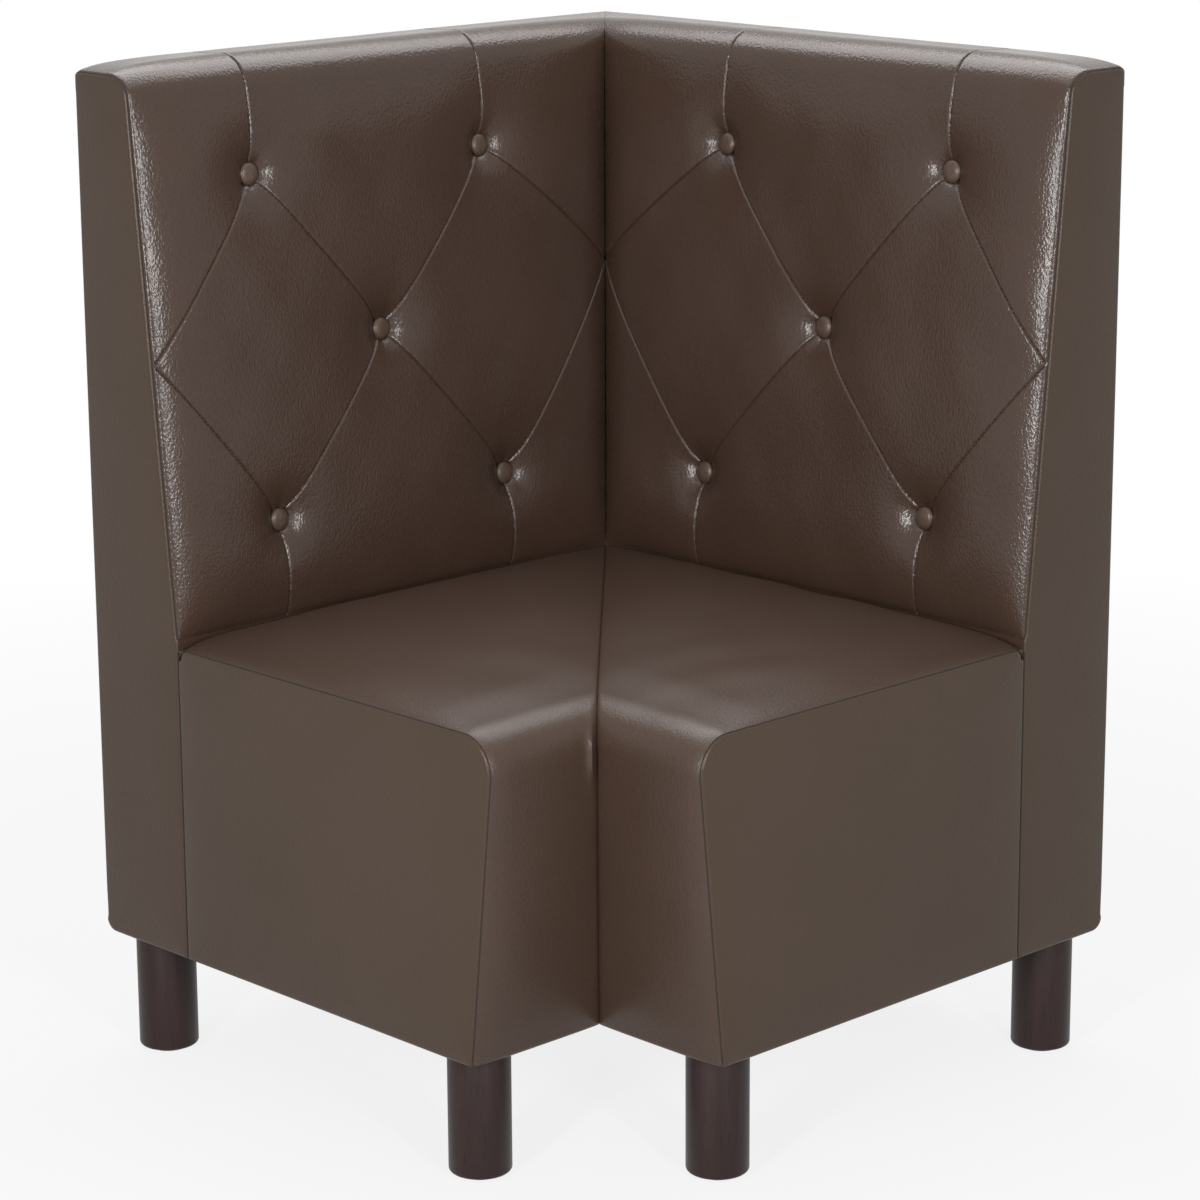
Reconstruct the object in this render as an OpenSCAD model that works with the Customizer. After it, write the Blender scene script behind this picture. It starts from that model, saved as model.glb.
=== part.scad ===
// Upholstered corner bench: two tufted backs and a mitred seat box on round wooden legs.
// Each arm is drawn once, in its own frame: X is the depth from the wall face, Y the distance from
// the arm's open end and Z the height above the floor. The right arm is the left one mirrored.

/* [Overall] */
// Side of the square footprint, from a wall face to an open end
side_w = 715; // [700:5:760]
// Height from the floor to the top of the backs
total_h = 1000; // [980:5:1060]
// Height from the floor to the seat where it meets the backs
seat_h = 450; // [430:5:465]
// Length of the legs with their glides
leg_h = 122; // [90:1:150]

/* [Backs] */
// Thickness of a back at the seat and below it
back_base_t = 132; // [126:1:146]
// Thickness of a back near its top edge
back_top_t = 80; // [76:1:94]
// Radius of the roll from a back's front face to its top
back_roll_r = 30; // [20:1:36]
// Radius of a back's rear top edge
back_edge_r = 8; // [4:1:12]
// Radius of the wall face's bottom edge, where its cover turns under the frame
wrap_r = 14; // [10:1:18]
// Thickness of the plain foam slab behind the quilting
back_foam_t = 28; // [20:1:30]
// Thickness of the quilted cover with its wadding at the end seam
quilt_t = 14; // [12:1:18]
// Thickness of the quilted cover over the top of the frame
quilt_top_t = 10; // [8:1:14]
// Height of the quilted cover's tail down the wall face
tail_h = 30; // [20:1:45]

/* [Tufting] */
// Drop from the top of the backs to the upper row of buttons
tuft_drop = 112; // [104:1:124]
// Height of the lower row of buttons over the seat
tuft_foot = 97; // [85:1:110]
// Distance between two columns of buttons, with the columns centred on the back's width at the seat
tuft_pitch = 152; // [146:1:158]
// How far the quilting stands proud of the seam line between buttons
tuft_crown = 16; // [10:1:20]
// How far a button pulls the quilting behind the seam line
tuft_sink = 3; // [1:0.5:5]
// Distance over which a button's dimple fades out
tuft_reach = 38; // [28:1:50]
// Depth of the sewn pleats between buttons
pleat_depth = 5; // [1:0.5:7]
// Diameter of a covered button
button_d = 22; // [18:1:26]
// Height of a covered button's dome
button_h = 7; // [5:0.5:9]
// Diameter of the twine that holds a button
twine_d = 2.4; // [1.6:0.1:3]
// Diameter of the anchor disc behind the back board
anchor_d = 18; // [14:1:24]
// Thickness of the anchor disc
anchor_t = 3; // [2:0.5:4]

/* [Seat] */
// Depth from the wall face to the seat's front at its top
seat_top_d = 590; // [575:5:620]
// Depth from the wall face to the seat's front at its bottom
seat_bottom_d = 555; // [535:5:570]
// Radius of the seat's front top edge
seat_edge_r = 38; // [28:1:45]
// Radius of the seat end's top rear corner
seat_corner_r = 13; // [6:1:20]
// Rise of the seat's cover in its middle
seat_crown = 7; // [3:1:12]
// Drop of the seat's cover at its end seam
end_drop = 5; // [2:0.5:8]
// Thickness of the seat's foam block
seat_foam_t = 60; // [45:1:75]
// Thickness of the cover and wadding over the foam at the end seam
seat_quilt_t = 7; // [5:1:10]
// Thickness of the cover and wadding down the front
front_quilt_t = 8; // [6:1:10]

/* [Boards] */
// Thickness of the plywood cheeks, end boards, front boards and rear boards
board_t = 15; // [12:1:18]
// Thickness of the seat decks
deck_t = 12; // [9:1:15]
// Thickness of the boards that carry the back foam
back_board_t = 8; // [6:1:9]
// Thickness of the hardboard on the wall faces
rear_board_t = 3; // [2:0.5:4]
// Height of the backs' top, middle and bottom rails
rail_h = 45; // [35:1:60]
// Height of the rail that carries the quilting at seat level
ledge_h = 110; // [100:1:130]
// Side of the block that takes a front leg
leg_block_w = 80; // [70:1:95]
// Diameter of the air holes in the seat decks
vent_d = 30; // [20:1:40]

/* [Covers] */
// Thickness of the flat leather covers
cover_t = 2; // [1.2:0.1:2.5]
// Thickness of the cloth under the frame
dust_t = 1; // [0.6:0.1:1.5]

/* [Legs] */
// Diameter of a leg
leg_d = 60; // [50:1:66]
// Distance of a leg's axis from the arm's open end
leg_end_inset = 38; // [34:1:50]
// Distance of a rear leg's axis from the wall face
leg_wall_inset = 48; // [46:1:66]
// Distance of a front leg's axis from the seat's bottom front edge
leg_front_inset = 35; // [34:1:58]
// Radius of a leg's bottom edge
leg_edge_r = 4; // [2:0.5:6]
// Diameter of a glide
glide_d = 40; // [24:1:46]
// Thickness of a glide
glide_t = 3; // [2:0.5:5]

/* [Fixings] */
// Diameter of the bolt in a leg
leg_bolt_d = 10; // [8:1:10]
// Length of the bolt inside the leg
leg_bolt_in = 40; // [30:1:60]
// Length of the bolt above the leg
leg_bolt_out = 32; // [26:1:34]
// Outer diameter of the threaded insert over a leg
insert_d = 14; // [13:1:15]
// Length of the threaded insert over a leg
insert_l = 24; // [18:1:25]
// Diameter of the bolts that join the seat box to the backs
join_bolt_d = 8; // [6:1:8]
// Length of such a bolt's shank
join_bolt_l = 40; // [34:1:50]
// Diameter of such a bolt's hexagon head, across its corners
join_head_d = 14; // [12:1:18]
// Height of such a bolt's head
join_head_h = 5; // [4:0.5:7]
// Outer diameter of the insert that such a bolt is screwed into
join_insert_d = 12; // [11:1:14]
// Length of the insert that such a bolt is screwed into
join_insert_l = 20; // [15:1:24]
// Height of the joining bolts' rows above the frame's underside and below the decks
join_row_z = 22; // [14:1:26]

/* [Clearances] */
// Gap between soft pieces and their neighbours
soft_gap = 0.3; // [0.2:0.05:0.5]
// Gap between boards that meet on the mitre
glue_gap = 0.05; // [0.02:0.01:0.1]
// Radial clearance of pins, bolts and twines in their holes
hole_gap = 0.15; // [0.1:0.05:0.3]

/* [Hidden] */
$fn = 48;
half_w = side_w / 2;

// Colours of the real pieces
leather_brown = [0.29, 0.23, 0.20];
wood_dark = [0.14, 0.09, 0.09];
ply_pale = [0.80, 0.66, 0.46];
foam_cream = [0.93, 0.89, 0.76];
cloth_black = [0.10, 0.10, 0.10];
steel_grey = [0.66, 0.67, 0.69];

// Levels of the frame
frame_bottom = leg_h + dust_t;
frame_top = total_h - quilt_top_t;
frame_rear = cover_t + rear_board_t;
board_end = cover_t + board_t;
wrap_foot = wrap_r + cover_t;

// Front line of a back and of the layers behind it, as depths at a height
back_slope = (back_base_t - back_top_t) / (total_h - seat_h);
back_tilt = atan(back_slope);
function back_d(z) = back_base_t - back_slope * max(0, z - seat_h);
function foam_front(z) = back_d(z) - quilt_t;
function board_front(z) = foam_front(z) - back_foam_t;
function rail_front(z) = board_front(z) - back_board_t;
post_w = rail_front(frame_top) - frame_rear;

// Front line of the seat box, raked under towards the floor
seat_rake = (seat_top_d - seat_bottom_d) / (seat_h - leg_h);
rake_tilt = atan(seat_rake);
seat_rear = back_base_t + soft_gap;
seat_end_z = seat_h - end_drop;
foam_top = seat_end_z - seat_quilt_t;
deck_top = foam_top - seat_foam_t;
deck_bottom = deck_top - deck_t;
function front_d(z) = seat_bottom_d + seat_rake * (z - leg_h);
function front_in(z) = front_d(z) - front_quilt_t;
function front_board_in(z) = front_in(z) - board_t;

// Lattice of the tufting: three columns of buttons and three rows
tuft_first = (side_w - back_base_t) / 2 - tuft_pitch;
function tuft_column(k) = tuft_first + (k - 1) * tuft_pitch;
tuft_rise = (total_h - tuft_drop - seat_h - tuft_foot) / 2;
tuft_top_z = total_h - tuft_drop;
tuft_mid_z = tuft_top_z - tuft_rise;
tuft_low_z = tuft_mid_z - tuft_rise;
button_sites = [
    [tuft_column(1), tuft_top_z], [tuft_column(3), tuft_top_z], [tuft_column(2), tuft_mid_z],
    [tuft_column(1), tuft_low_z], [tuft_column(3), tuft_low_z]
];
edge_sites = [[0, tuft_mid_z], [side_w - back_d(tuft_mid_z), tuft_mid_z]];
stack_t = quilt_t - tuft_sink + back_foam_t + back_board_t;
twine_l = stack_t * cos(back_tilt) + anchor_t;

// Legs, as [depth, distance from the open end] in the arm's frame
rear_leg_site = [leg_wall_inset, leg_end_inset];
front_leg_site = [seat_bottom_d - leg_front_inset, leg_end_inset];
corner_leg_site = [leg_wall_inset, side_w - leg_wall_inset];

// Joining bolts, as [distance from the open end, height]
join_sites = [
    for (share = [0.22, 0.72], z = [frame_bottom + join_row_z, deck_bottom - join_row_z])
        [share * (side_w - back_base_t), z]
];

// Helpers
function flat(rows) = [for (row = rows) for (p = row) p];
function arc_points(centre, r, a0, a1, steps) =
    [for (i = [0:steps]) let (a = a0 + (a1 - a0) * i / steps) centre + r * [cos(a), sin(a)]];

module left_arm() { translate([-half_w, -half_w, 0]) children(); }
module right_arm() { mirror([1, 1, 0]) left_arm() children(); }

// A section in depth and height, drawn out along the arm from s0 to s1
module along_arm(section, s0, s1) {
    translate([0, s1, 0]) rotate([90, 0, 0]) linear_extrude(s1 - s0) polygon(section);
}

// Cuts what lies past the vertical plane on which the two arms meet
module mitred(gap = glue_gap) {
    difference() {
        children();
        rotate([0, 0, 45])
            translate([(side_w - gap) / sqrt(2), -side_w, -1]) cube([side_w, 3 * side_w, total_h + 2]);
    }
}

// Puts its children on a button's axis, with +Z out of the quilting and Z 0 under the button
module at_buttons() {
    for (site = button_sites)
        translate([back_d(site[1]) - tuft_sink, site[0], site[1]])
            rotate([0, 90 - back_tilt, 0]) children();
}

module at_joining_bolts() {
    for (site = join_sites)
        translate([seat_rear, site[0], site[1]]) rotate([0, 90, 0]) children();
}

// Outline of the frame's rear bottom edge, cut back to clear the cover that turns under it
module frame_envelope() {
    along_arm([
        [frame_rear, leg_h + wrap_r], [wrap_foot, frame_bottom], [side_w, frame_bottom],
        [side_w, frame_top], [frame_rear, frame_top]
    ], 0, side_w);
}

// A cover that runs on to the mitre. Each row of outer points runs from the end seam to the mitre,
// lining holds the depth and height behind each row, and flips says which cells split the other way
module mitred_cover(rows, lining, flips) {
    nr = len(rows);
    nc = len(rows[0]);
    near_0 = nr * nc;
    far_0 = near_0 + nr;
    rim_0 = far_0 + nr;
    ends = [0, nr - 1];
    function far_s(i) = side_w - lining[i][0] - soft_gap / 2;
    function at(i, j) = i * nc + j;
    function rim(e, j) =
        j == 0 ? near_0 + ends[e] : j == nc - 1 ? far_0 + ends[e] : rim_0 + e * (nc - 2) + j - 1;
    points = concat(
        flat(rows),
        [for (p = lining) [p[0], cover_t, p[1]]],
        [for (i = [0:nr - 1]) [lining[i][0], far_s(i), lining[i][1]]],
        [
            for (i = ends, j = [1:nc - 2])
                [lining[i][0], cover_t + (far_s(i) - cover_t) * j / (nc - 1), lining[i][1]]
        ]
    );
    skin = [
        for (i = [0:nr - 2], j = [0:nc - 2])
            each flips[i][j]
                ? [[at(i, j), at(i + 1, j), at(i, j + 1)], [at(i + 1, j), at(i + 1, j + 1), at(i, j + 1)]]
                : [[at(i, j), at(i + 1, j), at(i + 1, j + 1)], [at(i, j), at(i + 1, j + 1), at(i, j + 1)]]
    ];
    near_side = [for (i = [0:nr - 2]) [at(i, 0), near_0 + i, near_0 + i + 1, at(i + 1, 0)]];
    far_side = [for (i = [0:nr - 2]) [at(i, nc - 1), at(i + 1, nc - 1), far_0 + i + 1, far_0 + i]];
    first_rim = [for (j = [0:nc - 2]) [at(0, j), at(0, j + 1), rim(0, j + 1), rim(0, j)]];
    last_rim = [for (j = [0:nc - 2]) [at(nr - 1, j), rim(1, j), rim(1, j + 1), at(nr - 1, j + 1)]];
    back = [for (i = [1:nr - 3]) [near_0 + i, far_0 + i, far_0 + i + 1, near_0 + i + 1]];
    back_first = concat([near_0 + 1], [for (j = [0:nc - 1]) rim(0, j)], [far_0 + 1]);
    back_last = concat([near_0 + nr - 2, far_0 + nr - 2], [for (j = [nc - 1:-1:0]) rim(1, j)]);
    polyhedron(
        points,
        concat(skin, near_side, far_side, first_rim, last_rim, back, [back_first, back_last]),
        convexity = 6
    );
}

// Backs: frame
module back_cheek() {
    color(ply_pale) along_arm([
        [frame_rear, leg_h + wrap_r], [wrap_foot, frame_bottom], [back_base_t, frame_bottom],
        [back_base_t, seat_h], [rail_front(seat_h), seat_h], [rail_front(frame_top), frame_top],
        [frame_rear, frame_top]
    ], cover_t, board_end);
}

module back_rail(z0, z1) {
    color(ply_pale) mitred() along_arm([
        [frame_rear, z0], [rail_front(z0), z0], [rail_front(z1), z1], [frame_rear, z1]
    ], board_end, side_w - frame_rear - post_w);
}

module back_top_rail() { back_rail(frame_top - rail_h, frame_top); }

module back_middle_rail() {
    middle = tuft_mid_z - tuft_rise / 2;
    back_rail(middle - rail_h / 2, middle + rail_h / 2);
}

module back_ledge_rail() {
    color(ply_pale) difference() {
        mitred() translate([frame_rear, board_end, seat_h - ledge_h])
            cube([back_base_t - frame_rear, side_w - frame_rear - post_w - board_end, ledge_h]);
        joining_holes();
    }
}

module back_bottom_rail() {
    color(ply_pale) difference() {
        along_arm([
            [frame_rear, leg_h + wrap_r], [wrap_foot, frame_bottom], [back_base_t, frame_bottom],
            [back_base_t, frame_bottom + rail_h], [frame_rear, frame_bottom + rail_h]
        ], board_end, side_w - back_base_t);
        joining_holes();
        leg_insert_hole(rear_leg_site);
    }
}

module corner_post() {
    color(ply_pale) left_arm()
        translate([frame_rear, side_w - frame_rear - post_w, frame_bottom + rail_h])
            cube([post_w, post_w, frame_top - frame_bottom - rail_h]);
}

module corner_block() {
    color(ply_pale) difference() {
        intersection() {
            left_arm() translate([frame_rear, side_w - back_base_t, frame_bottom])
                cube([back_base_t - frame_rear, back_base_t - frame_rear, rail_h]);
            left_arm() frame_envelope();
            right_arm() frame_envelope();
        }
        left_arm() leg_insert_hole(corner_leg_site);
    }
}

module back_board() {
    color(ply_pale) difference() {
        mitred() along_arm([
            [rail_front(seat_h), seat_h], [board_front(seat_h), seat_h],
            [board_front(frame_top), frame_top], [rail_front(frame_top), frame_top]
        ], cover_t, side_w);
        at_buttons() translate([0, 0, -twine_l - quilt_t])
            cylinder(h = twine_l + quilt_t, r = twine_d / 2 + hole_gap);
    }
}

module rear_board() {
    color(ply_pale) mitred() along_arm([
        [cover_t, leg_h + wrap_r], [frame_rear, leg_h + wrap_r], [frame_rear, frame_top], [cover_t, frame_top]
    ], cover_t, side_w);
}

// Backs: upholstery
foam_nose = back_roll_r / 3;

module back_foam() {
    color(foam_cream) difference() {
        mitred(soft_gap) along_arm([
            [board_front(seat_h), seat_h + soft_gap], [foam_front(seat_h), seat_h + soft_gap],
            [foam_front(frame_top - foam_nose), frame_top - foam_nose],
            [foam_front(frame_top - foam_nose) - foam_nose, frame_top], [board_front(frame_top), frame_top]
        ], cover_t, side_w);
        at_buttons() translate([0, 0, -twine_l])
            cylinder(h = twine_l, r = twine_d / 2 + hole_gap);
    }
}

// Front roll of a back, tangent to its front line and to its top
roll_z = total_h - back_roll_r;
roll_centre = [back_d(roll_z) - back_roll_r / cos(back_tilt), roll_z];
roll_start_z = roll_z + back_roll_r * sin(back_tilt);

// Steps of the tufting's mesh over one column or row, narrow next to a button so that it sits flat
tuft_cells = 6;
tuft_cols = 4 * tuft_cells;
button_rim_gap = 0.5;
socket_w = (button_d / 2 + button_rim_gap) * sqrt(2);
function tuft_step(i, span) =
    i == 0 ? 0 : i == tuft_cells ? span
        : socket_w + (span - 2 * socket_w) * (i - 1) / (tuft_cells - 2);
foot_rows = 4;
head_rows = 4;
front_rows = concat(
    [for (i = [0:foot_rows]) seat_h + soft_gap + (tuft_low_z - socket_w - seat_h - soft_gap) * i / foot_rows],
    [for (i = [0:tuft_cells]) tuft_low_z + tuft_step(i, tuft_rise)],
    [for (i = [1:tuft_cells]) tuft_mid_z + tuft_step(i, tuft_rise)],
    [for (i = [1:head_rows]) tuft_top_z + socket_w
        + (roll_start_z - tuft_top_z - socket_w) * (i - 1) / (head_rows - 1)]
);

// The quilting's path up the front, over the top and down the wall face: [depth, height, slant of
// the surface's normal above the horizon, share of the tufting left there, depth and height behind]
nose_low = [foam_front(frame_top - foam_nose) + soft_gap, frame_top - foam_nose + soft_gap];
nose_high = [nose_low[0] - foam_nose, frame_top + soft_gap];
roll_steps = 5;
edge_steps = 3;
quilt_path = concat(
    [for (z = front_rows) [back_d(z), z, back_tilt, 1, foam_front(z) + soft_gap, z]],
    [
        for (i = [1:roll_steps])
            let (
                a = back_tilt + (90 - back_tilt) * i / roll_steps,
                p = roll_centre + back_roll_r * [cos(a), sin(a)],
                q = i == 1 ? nose_low : nose_high - [(nose_high[0] - roll_centre[0] + quilt_top_t)
                    * (i - 2) / (roll_steps - 2), 0]
            )
                [p[0], p[1], a, pow(cos(a), 2), q[0], q[1]]
    ],
    [
        for (i = [0:edge_steps])
            let (
                a = 90 + 90 * i / edge_steps,
                p = [back_edge_r, total_h - back_edge_r] + back_edge_r * [cos(a), sin(a)]
            )
                [p[0], p[1], a, 0, cover_t + back_edge_r * (edge_steps - i) / edge_steps, nose_high[1]]
    ],
    [[0, total_h - tail_h, 180, 0, cover_t, total_h - tail_h]]
);

// Height of the quilting over the seam line at a distance s, a height z and a lattice column a
dimple_edge = 28;
foot_reach = 25;
pleat_reach = 15;
edge_pull = 0.6;
corner_share = 0.4;
function pull(sites, s, z) =
    max([for (p = sites) exp(-max(0, norm([s, z] - p) - socket_w) / tuft_reach)]);
function pleat_offset(a, z) =
    let (row = (tuft_top_z - z) / tuft_rise, e = max(0, 1 - abs(row - 1)))
        min([for (k = [1, 3]) min(abs(a - k - e), abs(a - k + e))]) * tuft_pitch;
function quilt_rise(s, z, a) =
    let (
        b = pull(button_sites, s, z),
        edge = 1 - exp(-max(0, s - cover_t) / dimple_edge),
        foot = 1 - exp(-max(0, z - seat_h - soft_gap) / foot_reach),
        corner = 1 - (1 - corner_share) * exp(-max(0, side_w - back_d(z) - s) / dimple_edge),
        pleat = pleat_depth * exp(-pleat_offset(a, z) / pleat_reach) * (1 - b)
    )
    tuft_crown * edge * foot * corner * (1 - b) * (1 - edge_pull * pull(edge_sites, s, z))
        - edge * foot * (tuft_sink * b + pleat);

function quilt_point(step, j) =
    let (
        k = floor(j / tuft_cells),
        a = j / tuft_cells,
        d0 = step[0],
        z0 = step[1],
        last = side_w - d0 - soft_gap / 2,
        start = k == 0 ? 0 : tuft_column(k),
        span = k == 0 ? tuft_first : k < 3 ? tuft_pitch : last - start,
        s = j == 0 ? cover_t : j == tuft_cols ? last : start + tuft_step(j - k * tuft_cells, span),
        rise = quilt_rise(s, z0, a) * step[3],
        d = d0 + rise * cos(step[2]),
        z = z0 + rise * sin(step[2]) * (step[3] < 1 ? 1 : 0)
    )
    [d, j == tuft_cols ? side_w - d - soft_gap / 2 : s, z];

module back_quilt() {
    rows = [for (step = quilt_path) [for (j = [0:tuft_cols]) quilt_point(step, j)]];
    lining = [for (step = quilt_path) [step[4], step[5]]];
    flips = [
        for (i = [0:len(rows) - 2])
            [
                for (j = [0:tuft_cols - 1])
                    let (row = floor((tuft_top_z - (rows[i][0][2] + rows[i + 1][0][2]) / 2) / tuft_rise))
                        (floor(j / tuft_cells) + max(-1, min(2, row)) + 4) % 2 == 0
            ]
    ];
    color(leather_brown) difference() {
        mitred_cover(rows, lining, flips);
        at_buttons() translate([0, 0, -quilt_t])
            cylinder(h = 2 * quilt_t, r = twine_d / 2 + 2 * hole_gap);
    }
}

function back_outline() = concat(
    [[back_base_t, leg_h], [back_base_t, seat_h]],
    arc_points(roll_centre, back_roll_r, back_tilt, 90, 5),
    arc_points([back_edge_r, total_h - back_edge_r], back_edge_r, 90, 180, 3),
    arc_points([wrap_r, leg_h + wrap_r], wrap_r, 180, 270, 6)
);

module back_end_cover() { color(leather_brown) along_arm(back_outline(), 0, cover_t); }

module rear_cover() {
    color(leather_brown) mitred() along_arm(concat(
        [[cover_t, total_h - tail_h - soft_gap], [0, total_h - tail_h - soft_gap]],
        arc_points([wrap_r, leg_h + wrap_r], wrap_r, 180, 270, 6),
        arc_points([wrap_r, leg_h + wrap_r], wrap_r - cover_t, 270, 180, 6)
    ), cover_t, side_w);
}

// Covered buttons, with the twine that holds each one and the disc behind the board
module back_buttons() {
    r = button_d / 2;
    dome_r = (r * r + button_h * button_h / 4) / button_h;
    color(leather_brown) at_buttons() translate([0, 0, hole_gap]) intersection() {
        cylinder(h = button_h, r = r);
        translate([0, 0, button_h - dome_r]) sphere(dome_r);
    }
}

module button_twines() {
    color(foam_cream) at_buttons() translate([0, 0, hole_gap - twine_l])
        cylinder(h = twine_l, r = twine_d / 2);
}

module button_anchors() {
    color(steel_grey) at_buttons() translate([0, 0, -stack_t * cos(back_tilt) - anchor_t])
        difference() {
            cylinder(h = anchor_t, d = anchor_d);
            translate([0, 0, -1]) cylinder(h = anchor_t + 2, r = twine_d / 2 + hole_gap);
        }
}

// Seat box: frame
module seat_end_board() {
    color(ply_pale) along_arm([
        [seat_rear, frame_bottom], [front_in(frame_bottom), frame_bottom],
        [front_in(deck_bottom), deck_bottom], [seat_rear, deck_bottom]
    ], cover_t, board_end);
}

module seat_front_board() {
    color(ply_pale) mitred() along_arm([
        [front_board_in(frame_bottom), frame_bottom], [front_in(frame_bottom), frame_bottom],
        [front_in(deck_bottom), deck_bottom], [front_board_in(deck_bottom), deck_bottom]
    ], board_end, side_w);
}

module seat_rear_board() {
    color(ply_pale) difference() {
        mitred() translate([seat_rear, board_end, frame_bottom])
            cube([board_t, side_w, deck_bottom - frame_bottom]);
        joining_holes();
    }
}

module seat_deck() {
    deck_mid = (seat_rear + seat_bottom_d) / 2;
    color(ply_pale) difference() {
        mitred() along_arm([
            [seat_rear, deck_bottom], [front_in(deck_bottom), deck_bottom],
            [front_in(deck_top), deck_top], [seat_rear, deck_top]
        ], cover_t, side_w);
        for (d = [(seat_rear + deck_mid) / 2, deck_mid], s = [0.2, 0.42] * (side_w - back_base_t))
            translate([d, s, deck_bottom - 1]) cylinder(h = deck_t + 2, d = vent_d);
    }
}

// Stands on the mitre between the rear boards and the front boards
module diagonal_brace() {
    inner_d = seat_rear + board_t;
    start = sqrt(2) * inner_d + board_t / 2;
    color(ply_pale) left_arm() translate([0, side_w, 0]) rotate([90, 0, -45])
        translate([0, 0, -board_t / 2]) linear_extrude(board_t) polygon([
            [start, frame_bottom], [sqrt(2) * front_board_in(frame_bottom), frame_bottom],
            [sqrt(2) * front_board_in(deck_bottom), deck_bottom], [start, deck_bottom]
        ]);
}

module leg_block() {
    front = min(front_board_in(frame_bottom), front_board_in(frame_bottom + rail_h));
    color(ply_pale) difference() {
        translate([front - leg_block_w, board_end, frame_bottom])
            cube([leg_block_w, leg_block_w, rail_h]);
        leg_insert_hole(front_leg_site);
    }
}

// Seat box: upholstery
seat_nose = seat_edge_r / 2;

module seat_foam() {
    top = foam_top - soft_gap;
    color(foam_cream) mitred(soft_gap) along_arm([
        [seat_rear, deck_top], [front_in(deck_top) - soft_gap, deck_top],
        [front_in(top - seat_nose) - soft_gap, top - seat_nose],
        [front_in(top - seat_nose) - soft_gap - seat_nose, top], [seat_rear, top]
    ], cover_t, side_w);
}

// The seat cover's path from the backs over the front edge and down, for a seat top at top_z:
// [depth, height, slant of the surface's normal above the horizon]
seat_flat_rows = 12;
seat_roll_rows = 6;
seat_front_rows = 5;
seat_last_row = seat_flat_rows + seat_roll_rows + seat_front_rows;
seat_cols = 16;
function seat_roll_centre(top_z) =
    [front_d(top_z - seat_edge_r) - seat_edge_r / cos(rake_tilt), top_z - seat_edge_r];
function seat_path(i, top_z) =
    let (c = seat_roll_centre(top_z), k = i - seat_flat_rows)
    k <= 0 ? [seat_rear + (c[0] - seat_rear) * i / seat_flat_rows, top_z, 90]
        : k <= seat_roll_rows ? let (
            a = 90 - (90 + rake_tilt) * k / seat_roll_rows,
            p = c + seat_edge_r * [cos(a), sin(a)]
        )
            [p[0], p[1], a]
        : let (
            z_start = c[1] - seat_edge_r * sin(rake_tilt),
            z = z_start + (leg_h - z_start) * (k - seat_roll_rows) / seat_front_rows
        )
            [front_d(z), z, -rake_tilt];

// Depth and height of the seat cover's inner side behind each row
seat_nose_low = [front_in(foam_top - seat_nose), foam_top - seat_nose];
seat_nose_high = [seat_nose_low[0] - seat_nose, foam_top];
function seat_lining(i) =
    let (p = seat_path(i, seat_end_z), k = i - seat_flat_rows)
    k <= 0 ? [p[0], foam_top]
        : k == 1 ? [(seat_roll_centre(seat_end_z)[0] + seat_nose_high[0]) / 2, foam_top]
        : k == 2 ? seat_nose_high
        : k == 3 ? seat_nose_low
        : k <= seat_roll_rows ? let (
            z_start = seat_path(seat_flat_rows + seat_roll_rows, seat_end_z)[1],
            z = seat_nose_low[1] + (z_start - seat_nose_low[1]) * (k - 3) / (seat_roll_rows - 3)
        )
            [front_in(z), z]
        : [front_in(p[1]), p[1]];

// Height of the seat cover over its path
seam_reach = 45;
function seat_rise(d, s, slant) =
    let (
        from_mitre = max(0, side_w - d - s) / sqrt(2),
        end_share = 1 - exp(-max(0, s - cover_t) / seam_reach),
        rear_share = 1 - exp(-max(0, d - seat_rear) / seam_reach),
        mitre_share = 0.3 + 0.7 * (1 - exp(-from_mitre / seam_reach)),
        front_share = 0.35 + 0.65 * max(0, sin(slant))
    )
    seat_crown * end_share * rear_share * mitre_share * front_share;

function seat_point(i, j) =
    let (
        share = j / seat_cols,
        nominal = cover_t + share * (side_w - seat_path(i, seat_h)[0] - cover_t),
        top_z = seat_h - end_drop * exp(-(nominal - cover_t) / seam_reach),
        step = seat_path(i, top_z),
        rise = seat_rise(step[0], nominal, step[2]),
        d = step[0] + rise * cos(step[2]),
        z = i == seat_last_row ? leg_h : step[1] + rise * sin(step[2]),
        s_last = side_w - d - soft_gap / 2
    )
    [d, cover_t + share * (s_last - cover_t), z];

module seat_cover() {
    rows = [for (i = [seat_last_row:-1:0]) [for (j = [0:seat_cols]) seat_point(i, j)]];
    lining = [for (i = [seat_last_row:-1:0]) seat_lining(i)];
    flips = [for (i = [1:seat_last_row]) [for (j = [1:seat_cols]) false]];
    color(leather_brown) mitred_cover(rows, lining, flips);
}

module seat_end_cover() {
    color(leather_brown) along_arm(concat(
        [[seat_rear, leg_h], [seat_bottom_d, leg_h]],
        arc_points(seat_roll_centre(seat_end_z), seat_edge_r, -rake_tilt, 90, seat_roll_rows),
        arc_points([seat_rear + seat_corner_r, seat_end_z - seat_corner_r], seat_corner_r, 90, 180, 5)
    ), 0, cover_t);
}

// Two cloths stapled under the frame, one on each arm, with a hole round each leg bolt
module dust_cover() {
    module arm_cloth() {
        difference() {
            mitred(soft_gap) along_arm([
                [wrap_r, leg_h], [front_in(leg_h), leg_h],
                [front_in(leg_h), frame_bottom], [wrap_r, frame_bottom]
            ], cover_t, side_w - wrap_r);
            for (site = [rear_leg_site, front_leg_site, corner_leg_site])
                translate([site[0], site[1], leg_h - 1])
                    cylinder(h = dust_t + 2, r = leg_bolt_d / 2 + hole_gap);
        }
    }
    color(cloth_black) {
        left_arm() arm_cloth();
        right_arm() arm_cloth();
    }
}

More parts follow.
